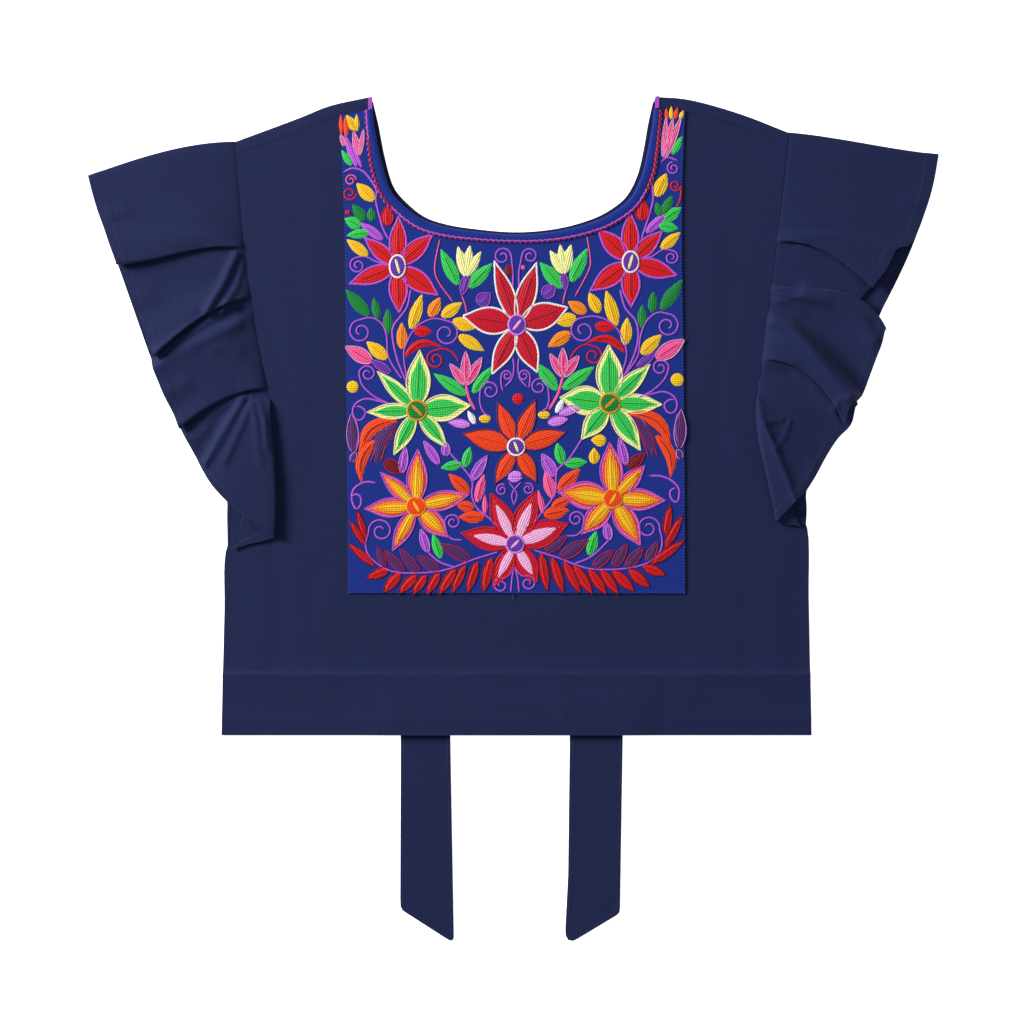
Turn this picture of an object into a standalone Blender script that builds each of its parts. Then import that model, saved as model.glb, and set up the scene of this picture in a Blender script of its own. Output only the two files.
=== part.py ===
# Embroidered cotton crop top with ruffle sleeves, laid flat on a table with its front up.
# Every size and table here is in millimetres. X runs to the right of the garment as it lies,
# Y from the hem to the shoulders, and Z up from the table top. The origin is on the table,
# at the middle of the whole outline.

import math

import bmesh
import bpy
import numpy as np

mm = 0.001

# Cloth and seams
wall = 1.2  # one layer of cloth
sleeve_wall = 1.0
hem_wall = 2.0  # the wide hem, where the cloth is turned up inside
bib_wall = 1.0
binding_wall = 1.0
seam_gap = 0.3  # between pieces that are sewn together or lie on each other
sleeve_gap = 0.4  # between an armhole and its sleeve

# Levels of the layers, measured to their undersides
front_level = wall + seam_gap
bib_level = front_level + wall + seam_gap
binding_level = bib_level + bib_wall + seam_gap

# Body
hem_y = -177.0
hem_depth = 49.5  # from the edge up to the row of stitching that holds the hem
hem_step = 3.5  # over which the doubled hem thins to a single layer
shoulder_turn = 10.5  # how far the back comes forward over the shoulder
binding_width = 7.5
back_binding_width = 6.0

# Ties
tie_top = hem_y + 15.0
tie_ramp = 24.0  # over which the back rises from the table onto the ties
tie_margin = 9.0

# Cross sections of the body from hem to shoulder: the left and the right edge of each.
# The rows from the underarm up are the armholes.
body_sections = (
    # left x, left y, right x, right y
    (-240.7, hem_y, 242.3, hem_y),
    (-240.4, hem_y + 12, 242.1, hem_y + 12),
    (-240.1, hem_y + 26, 241.9, hem_y + 26),
    (-239.7, hem_y + hem_depth, 241.4, hem_y + hem_depth),
    (-239.6, hem_y + hem_depth + hem_step, 241.3, hem_y + hem_depth + hem_step),
    (-238.4, -74.0, 240.2, -64.0),
    (-237.4, -27.0, 239.0, -7.5),
    (-224.5, -2.5, 224.5, 10.5),
    (-212.5, 24.0, 210.5, 29.0),
    (-203.6, 56.5, 201.0, 56.5),
    (-200.7, 89.5, 197.2, 87.0),
    (-205.1, 116.5, 199.4, 110.0),
    (-211.8, 151.0, 203.8, 146.0),
    (-217.7, 187.0, 209.0, 187.0),
    (-222.8, 230.0, 214.1, 229.0),
    (-226.4, 270.0, 218.9, 272.0),
    (-229.0, 298.5, 222.7, 306.0),
)
shoulder_tips = ((-229.9, 309.0), (223.9, 316.5))
underarm_row = 6

# Folds along the tops of the shoulders. The seams lie below them on the front.
left_fold = (shoulder_tips[0], (-176.7, 328.8), (-152.0, 338.7), (-118.5, 346.0))
right_fold = ((114.4, 346.0), (143.1, 343.5), (184.0, 332.0), shoulder_tips[1])

# Edge of the front neck scoop, from left to right
neck_edge = (
    (-117.0, 335.2),
    (-115.5, 320.6),
    (-110.3, 295.2),
    (-102.9, 270.6),
    (-91.4, 256.7),
    (-77.5, 246.0),
    (-62.0, 240.3),
    (-39.8, 236.2),
    (0.0, 232.9),
    (36.0, 236.0),
    (65.2, 244.0),
    (83.2, 253.4),
    (94.7, 264.0),
    (102.9, 280.4),
    (107.8, 300.1),
    (111.9, 322.3),
    (113.2, 335.2),
)
back_neck_scale = 0.978  # the back's scoop shows as a sliver inside the front's
back_neck_rise = 1.7
binding_run_out = 4  # columns over which the back's binding narrows at its ends

# Bib: its two side edges from the bottom up, the upper row on the shoulder seam
bib_sections = (
    # left x, left y, right x, right y
    (-139.2, -60.5, 138.4, -60.8),
    (-139.8, -20.0, 138.7, -20.0),
    (-140.4, 20.0, 138.9, 20.0),
    (-141.0, 62.0, 139.2, 62.0),
    (-141.6, 104.0, 139.5, 104.0),
    (-142.1, 146.0, 139.8, 146.0),
    (-142.6, 188.0, 140.0, 188.0),
    (-143.0, 230.0, 140.2, 230.0),
    (-143.4, 282.0, 140.4, 282.0),
    (-143.9, 330.6, 140.6, 332.9),
)

# Ties: their outlines below the point where they come out from under the hem
tie_outlines = {
    "tie_left": ((-94.5, -311.0), (-92.3, -320.6), (-59.5, -341.9), (-53.0, -345.6), (-50.7, -342.0)),
    "tie_right": ((43.1, -292.0), (40.7, -337.8), (45.5, -346.0), (84.1, -324.3), (85.9, -320.5)),
}
tie_edges = {"tie_left": (-94.0, -53.7), "tie_right": (44.7, 88.2)}

# Sleeves. Each row is one line across the strip, from the armhole seam to the sleeve's hem. The
# strip starts under the arm on the back, runs up the back to the shoulder fold, comes forward and
# runs down the front through its pleats, and at its tip turns under again to end under the arm.
# seam: distance down the armhole from the shoulder. seam z, hem z: height of the middle of the wall.
# near, far: how far the line bows towards the shoulder, a third and two thirds of the way along.
# turn: "soft" in a plain stretch, "fold" where two rows, one above the other, turn the strip back,
# "pleat" where the strip turns back at one row and forward again at the next, in three layers. The
# lower of a pleat's two rows sets its height.
sleeve_rows = {
    "sleeve_left": (
        # seam, seam z, hem x, hem y, hem z, near, far, turn
        (318, 0.5, -236.0, -22.0, 0.5, 0, 0, "soft"),
        (290, 0.5, -236.5, 4.0, 0.5, 0, 0, "soft"),
        (262, 0.5, -236.0, 17.0, 0.5, 0, 0, "soft"),
        (235, 0.5, -252.0, 38.0, 0.5, 0, 0, "soft"),
        (200, 0.5, -270.0, 72.0, 0.5, 0, 0, "soft"),
        (160, 0.5, -288.0, 108.0, 0.5, 0, 0, "soft"),
        (132, 0.5, -298.0, 129.0, 0.5, 0, 0, "soft"),
        (90, 0.5, -325.0, 206.0, 0.5, 0, 0, "soft"),
        (45, 0.5, -345.0, 259.0, 0.5, 0, 0, "soft"),
        (0, 0.5, -350.0, 281.0, 0.5, 4, 2, "fold"),
        (0, 2.1, -350.0, 281.0, 3.2, 4, 2, "fold"),
        (42, 2.1, -344.0, 257.5, 3.4, 0, 0, "soft"),
        (70, 2.1, -336.5, 238.0, 5.0, 1, 0, "soft"),
        (80, 2.1, -331.5, 223.5, 6.6, 3, 0, "soft"),
        (88, 2.1, -326.0, 208.3, 7.4, 5, -2, "pleat"),
        (92.8, 2.1, -329.5, 220.0, 2.6, 10, 8, "pleat"),
        (98, 2.1, -322.5, 203.5, 2.8, 4, 0, "soft"),
        (109, 2.1, -310.0, 169.5, 3.4, 2, 0, "soft"),
        (119, 2.1, -301.5, 148.0, 6.6, 3, 0, "soft"),
        (128, 2.1, -294.8, 132.5, 8.0, 5, 3, "pleat"),
        (132.8, 2.1, -298.0, 142.0, 3.0, 8, 10, "pleat"),
        (137, 2.1, -298.0, 130.0, 2.6, 4, 3, "soft"),
        (140.5, 2.1, -295.8, 121.5, 6.2, 1, 0, "soft"),
        (150, 2.1, -286.8, 100.0, 5.6, 2, 0, "soft"),
        (178, 2.1, -278.5, 84.0, 5.4, 3, 2, "soft"),
        (204, 2.1, -274.6, 74.0, 6.6, 5, 3, "pleat"),
        (208.8, 2.1, -275.2, 77.0, 2.2, 11, 8, "pleat"),
        (211, 2.4, -267.0, 60.5, 3.6, 10, 6, "soft"),
        (213, 3.0, -258.5, 45.0, 2.8, 12, 6, "soft"),
        (215, 3.8, -250.0, 29.5, 6.0, 9, 4, "soft"),
        (217.5, 4.6, -235.0, 13.2, 7.0, 1, 0, "soft"),
        (228, 5.0, -197.3, -14.8, 6.8, -3, -7, "fold"),
        (234, 3.8, -197.3, -14.8, 4.0, -4, -7, "fold"),
        (244, 3.8, -207.0, -18.3, 4.0, -2, 0, "soft"),
        (258, 3.8, -218.0, -20.2, 3.9, 0, 0, "soft"),
        (318, 3.8, -231.5, -25.0, 3.9, 0, 0, "soft"),
    ),
    "sleeve_right": (
        # seam, seam z, hem x, hem y, hem z, near, far, turn
        (312, 0.5, 238.0, -5.5, 0.5, 0, 0, "soft"),
        (285, 0.5, 239.0, 9.0, 0.5, 0, 0, "soft"),
        (260, 0.5, 237.5, 23.0, 0.5, 0, 0, "soft"),
        (235, 0.5, 252.0, 48.0, 0.5, 0, 0, "soft"),
        (200, 0.5, 267.0, 77.0, 0.5, 0, 0, "soft"),
        (165, 0.5, 284.0, 114.0, 0.5, 0, 0, "soft"),
        (130, 0.5, 296.0, 163.0, 0.5, 0, 0, "soft"),
        (92, 0.5, 313.0, 196.0, 0.5, 0, 0, "soft"),
        (72, 0.5, 324.5, 221.0, 0.5, 0, 0, "soft"),
        (38, 0.5, 340.5, 265.0, 0.5, 0, 0, "soft"),
        (0, 0.5, 346.4, 298.5, 0.5, 1, -1, "fold"),
        (0, 2.1, 346.4, 298.5, 3.2, 1, -1, "fold"),
        (38, 2.1, 341.6, 270.0, 3.4, 0, 0, "soft"),
        (68, 2.1, 330.5, 238.0, 4.2, 0, 0, "soft"),
        (79, 2.1, 323.6, 223.5, 4.8, 2, 1, "soft"),
        (83, 2.1, 311.0, 222.0, 5.8, 3, 2, "soft"),
        (86, 2.1, 304.0, 205.0, 6.6, 5, 3, "soft"),
        (90, 2.1, 292.0, 189.5, 7.2, 7, 4, "pleat"),
        (94.8, 2.1, 289.0, 186.8, 2.6, 14, 12, "pleat"),
        (99, 2.1, 283.0, 182.0, 2.8, 5, 2, "soft"),
        (112, 2.1, 278.0, 172.0, 2.8, 1, 0, "soft"),
        (124, 2.1, 286.0, 149.0, 2.7, 1, 2, "pleat"),
        (127, 2.1, 302.2, 155.6, 7.6, 3, 14, "pleat"),
        (132, 2.1, 298.6, 141.5, 6.7, 3, 10, "soft"),
        (136, 2.1, 293.0, 126.0, 4.6, 10, 6, "soft"),
        (141, 2.1, 287.0, 108.5, 2.8, 8, 3, "soft"),
        (147, 2.1, 283.0, 100.5, 5.0, 6, 5, "soft"),
        (153, 2.1, 280.0, 98.0, 8.4, 5, 5, "soft"),
        (168, 2.1, 272.0, 92.0, 9.4, 3, 4, "soft"),
        (187, 2.1, 268.0, 79.0, 8.4, 9, 6, "pleat"),
        (191.8, 2.1, 283.0, 91.0, 2.6, 14, 12, "pleat"),
        (195, 2.1, 275.5, 76.5, 2.8, 8, 4, "soft"),
        (202, 2.2, 264.5, 67.5, 3.6, 4, 0, "soft"),
        (207, 2.6, 254.6, 52.5, 4.6, 2, 0, "soft"),
        (211, 3.2, 244.4, 33.6, 5.6, 1, 0, "soft"),
        (214.5, 4.0, 235.8, 20.6, 6.6, 0, 0, "soft"),
        (217.5, 4.8, 228.4, 14.6, 8.2, -2, -1, "soft"),
        (225, 5.1, 213.2, -1.8, 7.0, -5, -2, "fold"),
        (230, 3.8, 213.2, -1.8, 4.0, -5.5, -2, "fold"),
        (240, 3.8, 222.0, -4.6, 4.0, -4, -2, "soft"),
        (262, 3.8, 231.0, -5.4, 3.9, -3, -0.5, "soft"),
        (318, 3.8, 233.5, -7.0, 3.9, 0, 0, "soft"),
    ),
}
line_shares = (0, 0.06, 0.14, 0.26, 0.44, 0.64, 0.83, 1)  # places along each line, seam to hem
opening_rate = 6  # how soon the pleats rise from the seam
pleat_radius = 1.0  # of the two turns of a pleat, to the middle of the wall
pleat_turn_length = 2.0  # along each turn where the pleat is still nearly flat at the seam
pleat_depth = 1.5  # least length of the layer between the turns
pleat_closing = 0.3  # part of the way to the hem over which a pleat goes from flat to folded
pleat_steps = 3
fold_samples = (1 / 6, 1 / 2, 5 / 6)
soft_samples = (1 / 4, 3 / 4)
softness = 14.0  # how far from a row the strip starts to bend towards the next one


def curve_through(points, spans):
    """Points on a smooth curve through the given ones, so many to each stretch."""
    p = np.array(points, float)
    p = np.vstack([2 * p[0] - p[1], p, 2 * p[-1] - p[-2]])
    found = []
    for a, b, c, d in zip(p, p[1:], p[2:], p[3:]):
        for t in np.arange(spans) / spans:
            found.append(
                0.5 * (2 * b + (c - a) * t + (2 * a - 5 * b + 4 * c - d) * t**2 + (3 * b - 3 * c + d - a) * t**3)
            )
    return np.array(found + [p[-2]])


def along(points, count):
    """So many points evenly spaced along a path, both ends included."""
    p = np.array(points, float)
    travelled = np.concatenate([[0], np.cumsum(np.linalg.norm(np.diff(p, axis=0), axis=1))])
    at = np.linspace(0, travelled[-1], count)
    return np.stack([np.interp(at, travelled, p[:, k]) for k in range(p.shape[1])], axis=1)


def at_distance(points, distance):
    """The point of a path at a distance from its start."""
    p = np.array(points, float)
    travelled = np.concatenate([[0], np.cumsum(np.linalg.norm(np.diff(p, axis=0), axis=1))])
    return np.array([np.interp(distance, travelled, p[:, k]) for k in range(2)])


def into_cloth(path, distance):
    """A neck path moved away from the opening, by one distance or by one for each point."""
    direction = np.gradient(path, axis=0)
    direction /= np.linalg.norm(direction, axis=1)[:, None]
    return path + np.reshape(distance, (-1, 1)) * np.stack([direction[:, 1], -direction[:, 0]], axis=1)


def ramp(value, start, end):
    """0 at start, 1 at end, and straight between."""
    return float(np.clip((value - start) / (end - start), 0, 1))


def tie_lift(x, y):
    """How high the back lies off the table where it covers the upper ends of the ties."""
    left = min(edges[0] for edges in tie_edges.values()) - tie_margin
    right = max(edges[1] for edges in tie_edges.values()) + tie_margin
    across = ramp(x, left - tie_ramp, left) * ramp(x, right + tie_ramp, right)
    up = ramp(y, tie_top + tie_margin + tie_ramp, tie_top + tie_margin)
    return (wall + seam_gap) * across * up


def hem_share(y):
    """1 in the turned-up hem, 0 above it."""
    edge = hem_y + hem_depth
    return ramp(y, edge + hem_step - 0.5, edge + 0.5)


def fabric(name, colour, roughness):
    material = bpy.data.materials.new(name)
    material.use_nodes = True
    shader = material.node_tree.nodes["Principled BSDF"]
    shader.inputs["Base Color"].default_value = (*colour, 1)
    shader.inputs["Roughness"].default_value = roughness
    shader.inputs["Metallic"].default_value = 0
    material.diffuse_color = (*colour, 1)
    return material


def grid_surface(name, columns, rows, place, left_out=None):
    """An open surface from a plain grid. place gives the position of a column and row, and
    left_out says which faces, by the column and row of their lower left corner, are cut away."""
    mesh = bpy.data.meshes.new(name)
    shape = bmesh.new()
    bmesh.ops.create_grid(shape, x_segments=columns, y_segments=rows, size=1)
    cells = {}
    for vertex in shape.verts:
        column = round((vertex.co.x + 1) / 2 * columns)
        row = round((vertex.co.y + 1) / 2 * rows)
        cells[vertex] = (column, row)
    if left_out:
        cut = [f for f in shape.faces if left_out(*map(min, zip(*(cells[v] for v in f.verts))))]
        bmesh.ops.delete(shape, geom=cut, context="FACES")
    for vertex in shape.verts:
        vertex.co = [value * mm for value in place(*cells[vertex])]
    shape.to_mesh(mesh)
    shape.free()
    return mesh


def cloth_object(name, mesh, material, thickness, offset, collection):
    piece = bpy.data.objects.new(name, mesh)
    mesh.materials.append(material)
    collection.objects.link(piece)
    solid = piece.modifiers.new("Cloth wall", "SOLIDIFY")
    solid.thickness = thickness * mm
    solid.offset = offset
    solid.use_quality_normals = True
    return piece


def thicken_hem(piece):
    """Weights that make the wall thicker in the turned-up hem."""
    group = piece.vertex_groups.new(name="Hem")
    for vertex in piece.data.vertices:
        group.add([vertex.index], hem_share(vertex.co.y / mm), "REPLACE")
    solid = piece.modifiers["Cloth wall"]
    solid.thickness = hem_wall * mm
    solid.vertex_group = group.name
    solid.thickness_vertex_group = wall / hem_wall


def patch(sections, top_path):
    """A panel between its cross sections and the path of its upper edge. It gives a function from
    a column and a section's number, whole or not, to a place on the table."""
    rows = np.array(sections, float)
    left, right = rows[:, :2], rows[:, 2:]
    top = np.array(top_path, float)
    share = (top[:, 0] - left[-1, 0]) / (right[-1, 0] - left[-1, 0])
    straight = (1 - share) * left[-1, 1] + share * right[-1, 1]
    climb = (left[:, 1] - left[0, 1]) / (left[-1, 1] - left[0, 1])

    def place(column, row):
        f = share[column]
        x, y = (1 - f) * left[row] + f * right[row]
        return x, y + max(0, climb[row]) ** 2 * (top[column, 1] - straight[column])

    return place


def body_place(sections, top_path):
    """A body panel's patch, whose hem rows stay level below the neck scoop."""
    level_rows = 5
    upper = patch(sections[level_rows - 1 :], top_path)

    def place(column, row):
        if row >= level_rows - 1:
            return upper(column, row - level_rows + 1)
        x, _ = upper(column, 0)
        share = (x - sections[level_rows - 1][0]) / (sections[level_rows - 1][2] - sections[level_rows - 1][0])
        left_x, left_y, right_x, right_y = sections[row]
        return (1 - share) * left_x + share * right_x, (1 - share) * left_y + share * right_y

    return place


shoulder_columns = 4
neck_columns = 24


def top_columns(neck):
    """The upper edge of the back as one point for each column, with the neck between the folds."""
    left = along(curve_through(left_fold, 4), shoulder_columns + 1)[:-1]
    right = along(curve_through(right_fold, 4), shoulder_columns + 1)[1:]
    return np.vstack([left, neck, right])


def front_columns(neck):
    """The upper edge of the front: the shoulder seams, parallel to the folds and in line with the
    armholes, with the neck between."""
    top = top_columns(neck)
    last = body_sections[-1]
    top[:shoulder_columns] *= [last[0] / shoulder_tips[0][0], 1]
    top[-shoulder_columns:] *= [last[2] / shoulder_tips[1][0], 1]
    top[:shoulder_columns, 1] -= shoulder_turn + seam_gap
    top[-shoulder_columns:, 1] -= shoulder_turn + seam_gap
    return top


def front_neck():
    return along(curve_through(neck_edge, 4), neck_columns + 1)


def back_neck():
    inner = [(x * back_neck_scale, y + back_neck_rise) for x, y in neck_edge[1:-1]]
    return along(curve_through([left_fold[-1], *inner, right_fold[0]], 4), neck_columns + 1)


def back_binding_depths():
    """How deep the back's binding is at each column. It runs out to nothing at the shoulder folds."""
    columns = np.arange(neck_columns + 1)
    from_end = np.minimum(columns, columns[::-1])
    return back_binding_width * np.clip(from_end / binding_run_out, 0, 1)


def make_back(material, collection):
    """The back lies on the table. Over each shoulder it turns forward, to the shoulder seam."""
    radius = (wall + seam_gap + wall) / 2
    steps = 6
    (left_x, left_y), (right_x, right_y) = shoulder_tips
    flat = (*body_sections, (left_x, left_y - radius, right_x, right_y - radius))
    depths = back_binding_depths()
    fold = top_columns(into_cloth(back_neck(), depths + seam_gap * (depths > 0)))
    seam = front_columns(into_cloth(front_neck(), binding_wall + seam_gap))
    flat_top = fold - [0, radius]
    flat_top[shoulder_columns + 1 : -shoulder_columns - 1] = fold[shoulder_columns + 1 : -shoulder_columns - 1]
    place_flat = body_place(flat, flat_top)
    last = len(flat) - 1
    columns = len(fold) - 1

    def place(column, row):
        x, y = place_flat(column, min(row, last))
        if row <= last:
            return x, y, tie_lift(x, y)
        turn = min(row - last, steps) / steps * math.pi
        if row > last + steps:
            x, y = seam[column] + [0, seam_gap]
        else:
            y += radius * math.sin(turn)
        return x, y, radius * (1 - math.cos(turn))

    def in_scoop(column, row):
        return row >= last and shoulder_columns <= column < columns - shoulder_columns

    mesh = grid_surface("back_panel", columns, last + steps + 1, place, in_scoop)
    thicken_hem(cloth_object("back_panel", mesh, material, wall, 1, collection))


def make_front(material, collection):
    """The front lies on the back and ends at the shoulder seams."""
    neck = into_cloth(front_neck(), binding_wall + seam_gap)
    top = front_columns(neck)
    place_flat = body_place(body_sections, top)

    def place(column, row):
        x, y = place_flat(column, row)
        back_wall = wall + (hem_wall - wall) * hem_share(y)
        return x, y, tie_lift(x, y) + back_wall + seam_gap

    mesh = grid_surface("front_panel", len(top) - 1, len(body_sections) - 1, place)
    thicken_hem(cloth_object("front_panel", mesh, material, wall, 1, collection))


def make_bib(material, collection):
    """The embroidered bib, a layer of its own on the front."""
    neck = into_cloth(front_neck(), binding_wall + seam_gap)
    corners = bib_sections[-1]
    top = np.vstack([along([corners[:2], neck[0]], 3)[:-1], neck, along([neck[-1], corners[2:]], 3)[1:]])
    place_flat = patch(bib_sections, top)

    def place(column, row):
        return (*place_flat(column, row), bib_level)

    mesh = grid_surface("bib", len(top) - 1, len(bib_sections) - 1, place)
    cloth_object("bib", mesh, material, bib_wall, 1, collection)


def make_front_binding(material, collection):
    """A band over the front's neck edge: down its edge and out over the bib."""
    path = front_neck()
    middle = binding_wall / 2
    top = binding_level + middle
    profile = (
        # distance into the cloth, height
        (middle, front_level),
        (middle, top - 0.8),
        (middle + 0.3, top - 0.2),
        (middle + 1.0, top),
        (binding_width, top),
    )

    def place(column, row):
        depth, height = profile[row]
        return (*into_cloth(path, depth)[column], height)

    mesh = grid_surface("front_neck_binding", len(path) - 1, len(profile) - 1, place)
    cloth_object("front_neck_binding", mesh, material, binding_wall, 0, collection)


def make_back_binding(material, collection):
    """A band along the back's neck edge, lying on the table beside it."""
    path = back_neck()
    edges = (into_cloth(path, back_binding_depths())[1:-1], path[1:-1])

    def place(column, row):
        return (*edges[row][column], 0)

    mesh = grid_surface("back_neck_binding", len(path) - 3, 1, place)
    cloth_object("back_neck_binding", mesh, material, wall, 1, collection)


def armhole(side):
    """The edge of an armhole from the shoulder down to the underarm, and the way out of it."""
    column = 0 if side < 0 else 2
    rows = [row[column : column + 2] for row in reversed(body_sections[underarm_row:])]
    return [shoulder_tips[0 if side < 0 else 1], *rows]


def pleat(share, upper, lower, outward, falling):
    """The middle of the wall through a pleat's two turns. upper and lower are the outermost points
    of its two edges, and outward is the way along the strip."""
    angle = max(0.01, math.pi * min(1, share / pleat_closing) ** 0.7)
    radius = max(pleat_radius, pleat_turn_length / angle)
    depth = pleat_depth
    if angle > 0.99 * math.pi:
        back = abs(float(np.dot((upper - lower)[:2], outward)))
        depth = max(depth, back - 2 * radius)
    turns = []
    for k in range(pleat_steps + 1):
        a = angle * k / pleat_steps
        turns.append((radius * math.sin(a), radius * (math.cos(a) - 1)))
    far, deep = turns[-1][0] + depth * math.cos(angle), turns[-1][1] - depth * math.sin(angle)
    for k in range(pleat_steps + 1):
        a = angle * (1 - k / pleat_steps)
        turns.append((far + radius * (math.sin(angle) - math.sin(a)), deep - radius * (math.cos(a) - math.cos(angle))))
    reach = radius * math.sin(min(angle, math.pi / 2))
    length, height = turns[-1]
    found = []
    for along_strip, up in turns:
        if falling:
            x, y = upper[:2] + (along_strip - reach) * outward
            z = lower[2] - height + up
        else:
            x, y = upper[:2] + (along_strip - length + reach) * outward
            z = lower[2] - up
        found.append(np.array([x, y, z]))
    return found


def rounded(corners, kinds, share, outward, falling):
    """A path through the rows of a strip, with each corner rounded and each pleat folded."""
    path, turns = [], []
    row = 0
    while row < len(corners):
        if kinds[row] != "pleat":
            path.append(corners[row])
            turns.append(kinds[row])
            row += 1
            continue
        upper, lower = (row, row + 1) if falling[row] else (row + 1, row)
        folded = pleat(share, corners[upper], corners[lower], outward[upper], falling[row])
        path += folded
        turns += ["sharp"] * len(folded)
        row += 2
    found = [path[0]]
    for before, corner, after, kind in zip(path, path[1:], path[2:], turns[1:-1]):
        if kind == "sharp":
            found.append(corner)
            continue
        back, on = before - corner, after - corner
        leg = min(softness, np.linalg.norm(back) / 2, np.linalg.norm(on) / 2)
        a = corner + back / np.linalg.norm(back) * leg
        b = corner + on / np.linalg.norm(on) * leg
        for t in fold_samples if kind == "fold" else soft_samples:
            found.append((1 - t) ** 2 * a + 2 * t * (1 - t) * corner + t**2 * b)
    return np.array([*found, path[-1]])


def make_sleeve(name, material, collection):
    """A pleated strip between its armhole and its hem, laid round in a flattened tube."""
    rows = sleeve_rows[name]
    side = -1 if name == "sleeve_left" else 1
    edge = armhole(side)
    kinds = [row[-1] for row in rows]
    falling = [row[4] > following[4] for row, following in zip(rows, rows[1:])]
    lines = []
    for share in line_shares:
        rise = 1 - (1 - share) ** opening_rate
        near_bow, far_bow = 6.75 * share * (1 - share) ** 2, 6.75 * share**2 * (1 - share)
        corners, outward = [], []
        for seam, seam_z, hem_x, hem_y, hem_z, near, far, _ in rows:
            start = at_distance(edge, seam) + [side * sleeve_gap, 0]
            down_seam = at_distance(edge, seam + 3) - at_distance(edge, seam - 3)
            way = np.array([hem_x, hem_y]) - start
            aside = side * np.array([-way[1], way[0]]) / np.linalg.norm(way)
            x, y = start + share * way + (near * near_bow + far * far_bow) * aside
            corners.append(np.array([x, y, seam_z + (hem_z - seam_z) * rise]))
            blend = min(1, share / pleat_closing)
            direction = (1 - blend) * down_seam / np.linalg.norm(down_seam) - blend * aside
            outward.append(direction / np.linalg.norm(direction))
        lines.append(rounded(corners, kinds, share, outward, falling))

    def place(column, row):
        return lines[row][column]

    mesh = grid_surface(name, len(lines[0]) - 1, len(lines) - 1, place)
    cloth_object(name, mesh, material, sleeve_wall, 0, collection)


def make_tie(name, material, collection):
    """A flat strip with a slanted end, its upper end under the back's hem."""
    left, right = tie_edges[name]
    outline = [(left, tie_top), *tie_outlines[name], (right, tie_top)]
    curve = bpy.data.curves.new(name, "CURVE")
    curve.dimensions = "2D"
    curve.fill_mode = "BOTH"
    curve.extrude = wall / 2 * mm
    spline = curve.splines.new("POLY")
    spline.points.add(len(outline) - 1)
    spline.use_cyclic_u = True
    for point, (x, y) in zip(spline.points, outline):
        point.co = (x * mm, y * mm, 0, 1)
    curve.materials.append(material)
    tie = bpy.data.objects.new(name, curve)
    tie.location.z = wall / 2 * mm
    collection.objects.link(tie)


def main():
    for thing in list(bpy.data.objects):
        bpy.data.objects.remove(thing, do_unlink=True)
    collection = bpy.data.collections.new("crop_top")
    bpy.context.scene.collection.children.link(collection)
    navy = fabric("navy cotton", (0.020, 0.026, 0.108), 0.85)
    royal = fabric("royal blue cotton", (0.008, 0.030, 0.223), 0.8)
    dark_navy = fabric("dark navy cotton", (0.008, 0.010, 0.040), 0.85)
    make_back(navy, collection)
    make_front(navy, collection)
    make_bib(royal, collection)
    make_front_binding(royal, collection)
    make_back_binding(dark_navy, collection)
    for name in sleeve_rows:
        make_sleeve(name, navy, collection)
    for name in tie_outlines:
        make_tie(name, navy, collection)


main()
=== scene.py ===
import math

import bpy
import numpy as np
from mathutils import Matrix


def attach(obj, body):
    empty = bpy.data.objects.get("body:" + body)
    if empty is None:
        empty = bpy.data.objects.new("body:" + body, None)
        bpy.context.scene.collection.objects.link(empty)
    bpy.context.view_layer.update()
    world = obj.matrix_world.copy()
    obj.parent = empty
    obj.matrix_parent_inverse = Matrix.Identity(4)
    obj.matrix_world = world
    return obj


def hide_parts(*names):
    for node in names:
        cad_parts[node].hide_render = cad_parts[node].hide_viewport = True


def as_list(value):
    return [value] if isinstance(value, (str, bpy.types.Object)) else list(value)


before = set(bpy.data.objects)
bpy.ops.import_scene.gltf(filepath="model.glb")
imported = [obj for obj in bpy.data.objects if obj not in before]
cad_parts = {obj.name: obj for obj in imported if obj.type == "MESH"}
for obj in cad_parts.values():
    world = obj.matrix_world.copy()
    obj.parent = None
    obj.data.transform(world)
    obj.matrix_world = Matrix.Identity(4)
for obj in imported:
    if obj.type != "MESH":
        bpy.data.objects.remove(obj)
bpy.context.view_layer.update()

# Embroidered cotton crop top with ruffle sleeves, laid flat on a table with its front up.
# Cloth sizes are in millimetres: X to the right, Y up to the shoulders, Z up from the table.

mm = 0.001

# Cloth layers and the levels of their undersides, as in the solids
wall = 1.2
seamGap = 0.3
bibWall = 1.0
bandWall = 1.0
frontLevel = wall + seamGap
frontMiddle = frontLevel + wall / 2
bibLevel = frontLevel + wall + seamGap
bindingLevel = bibLevel + bibWall + seamGap

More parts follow.
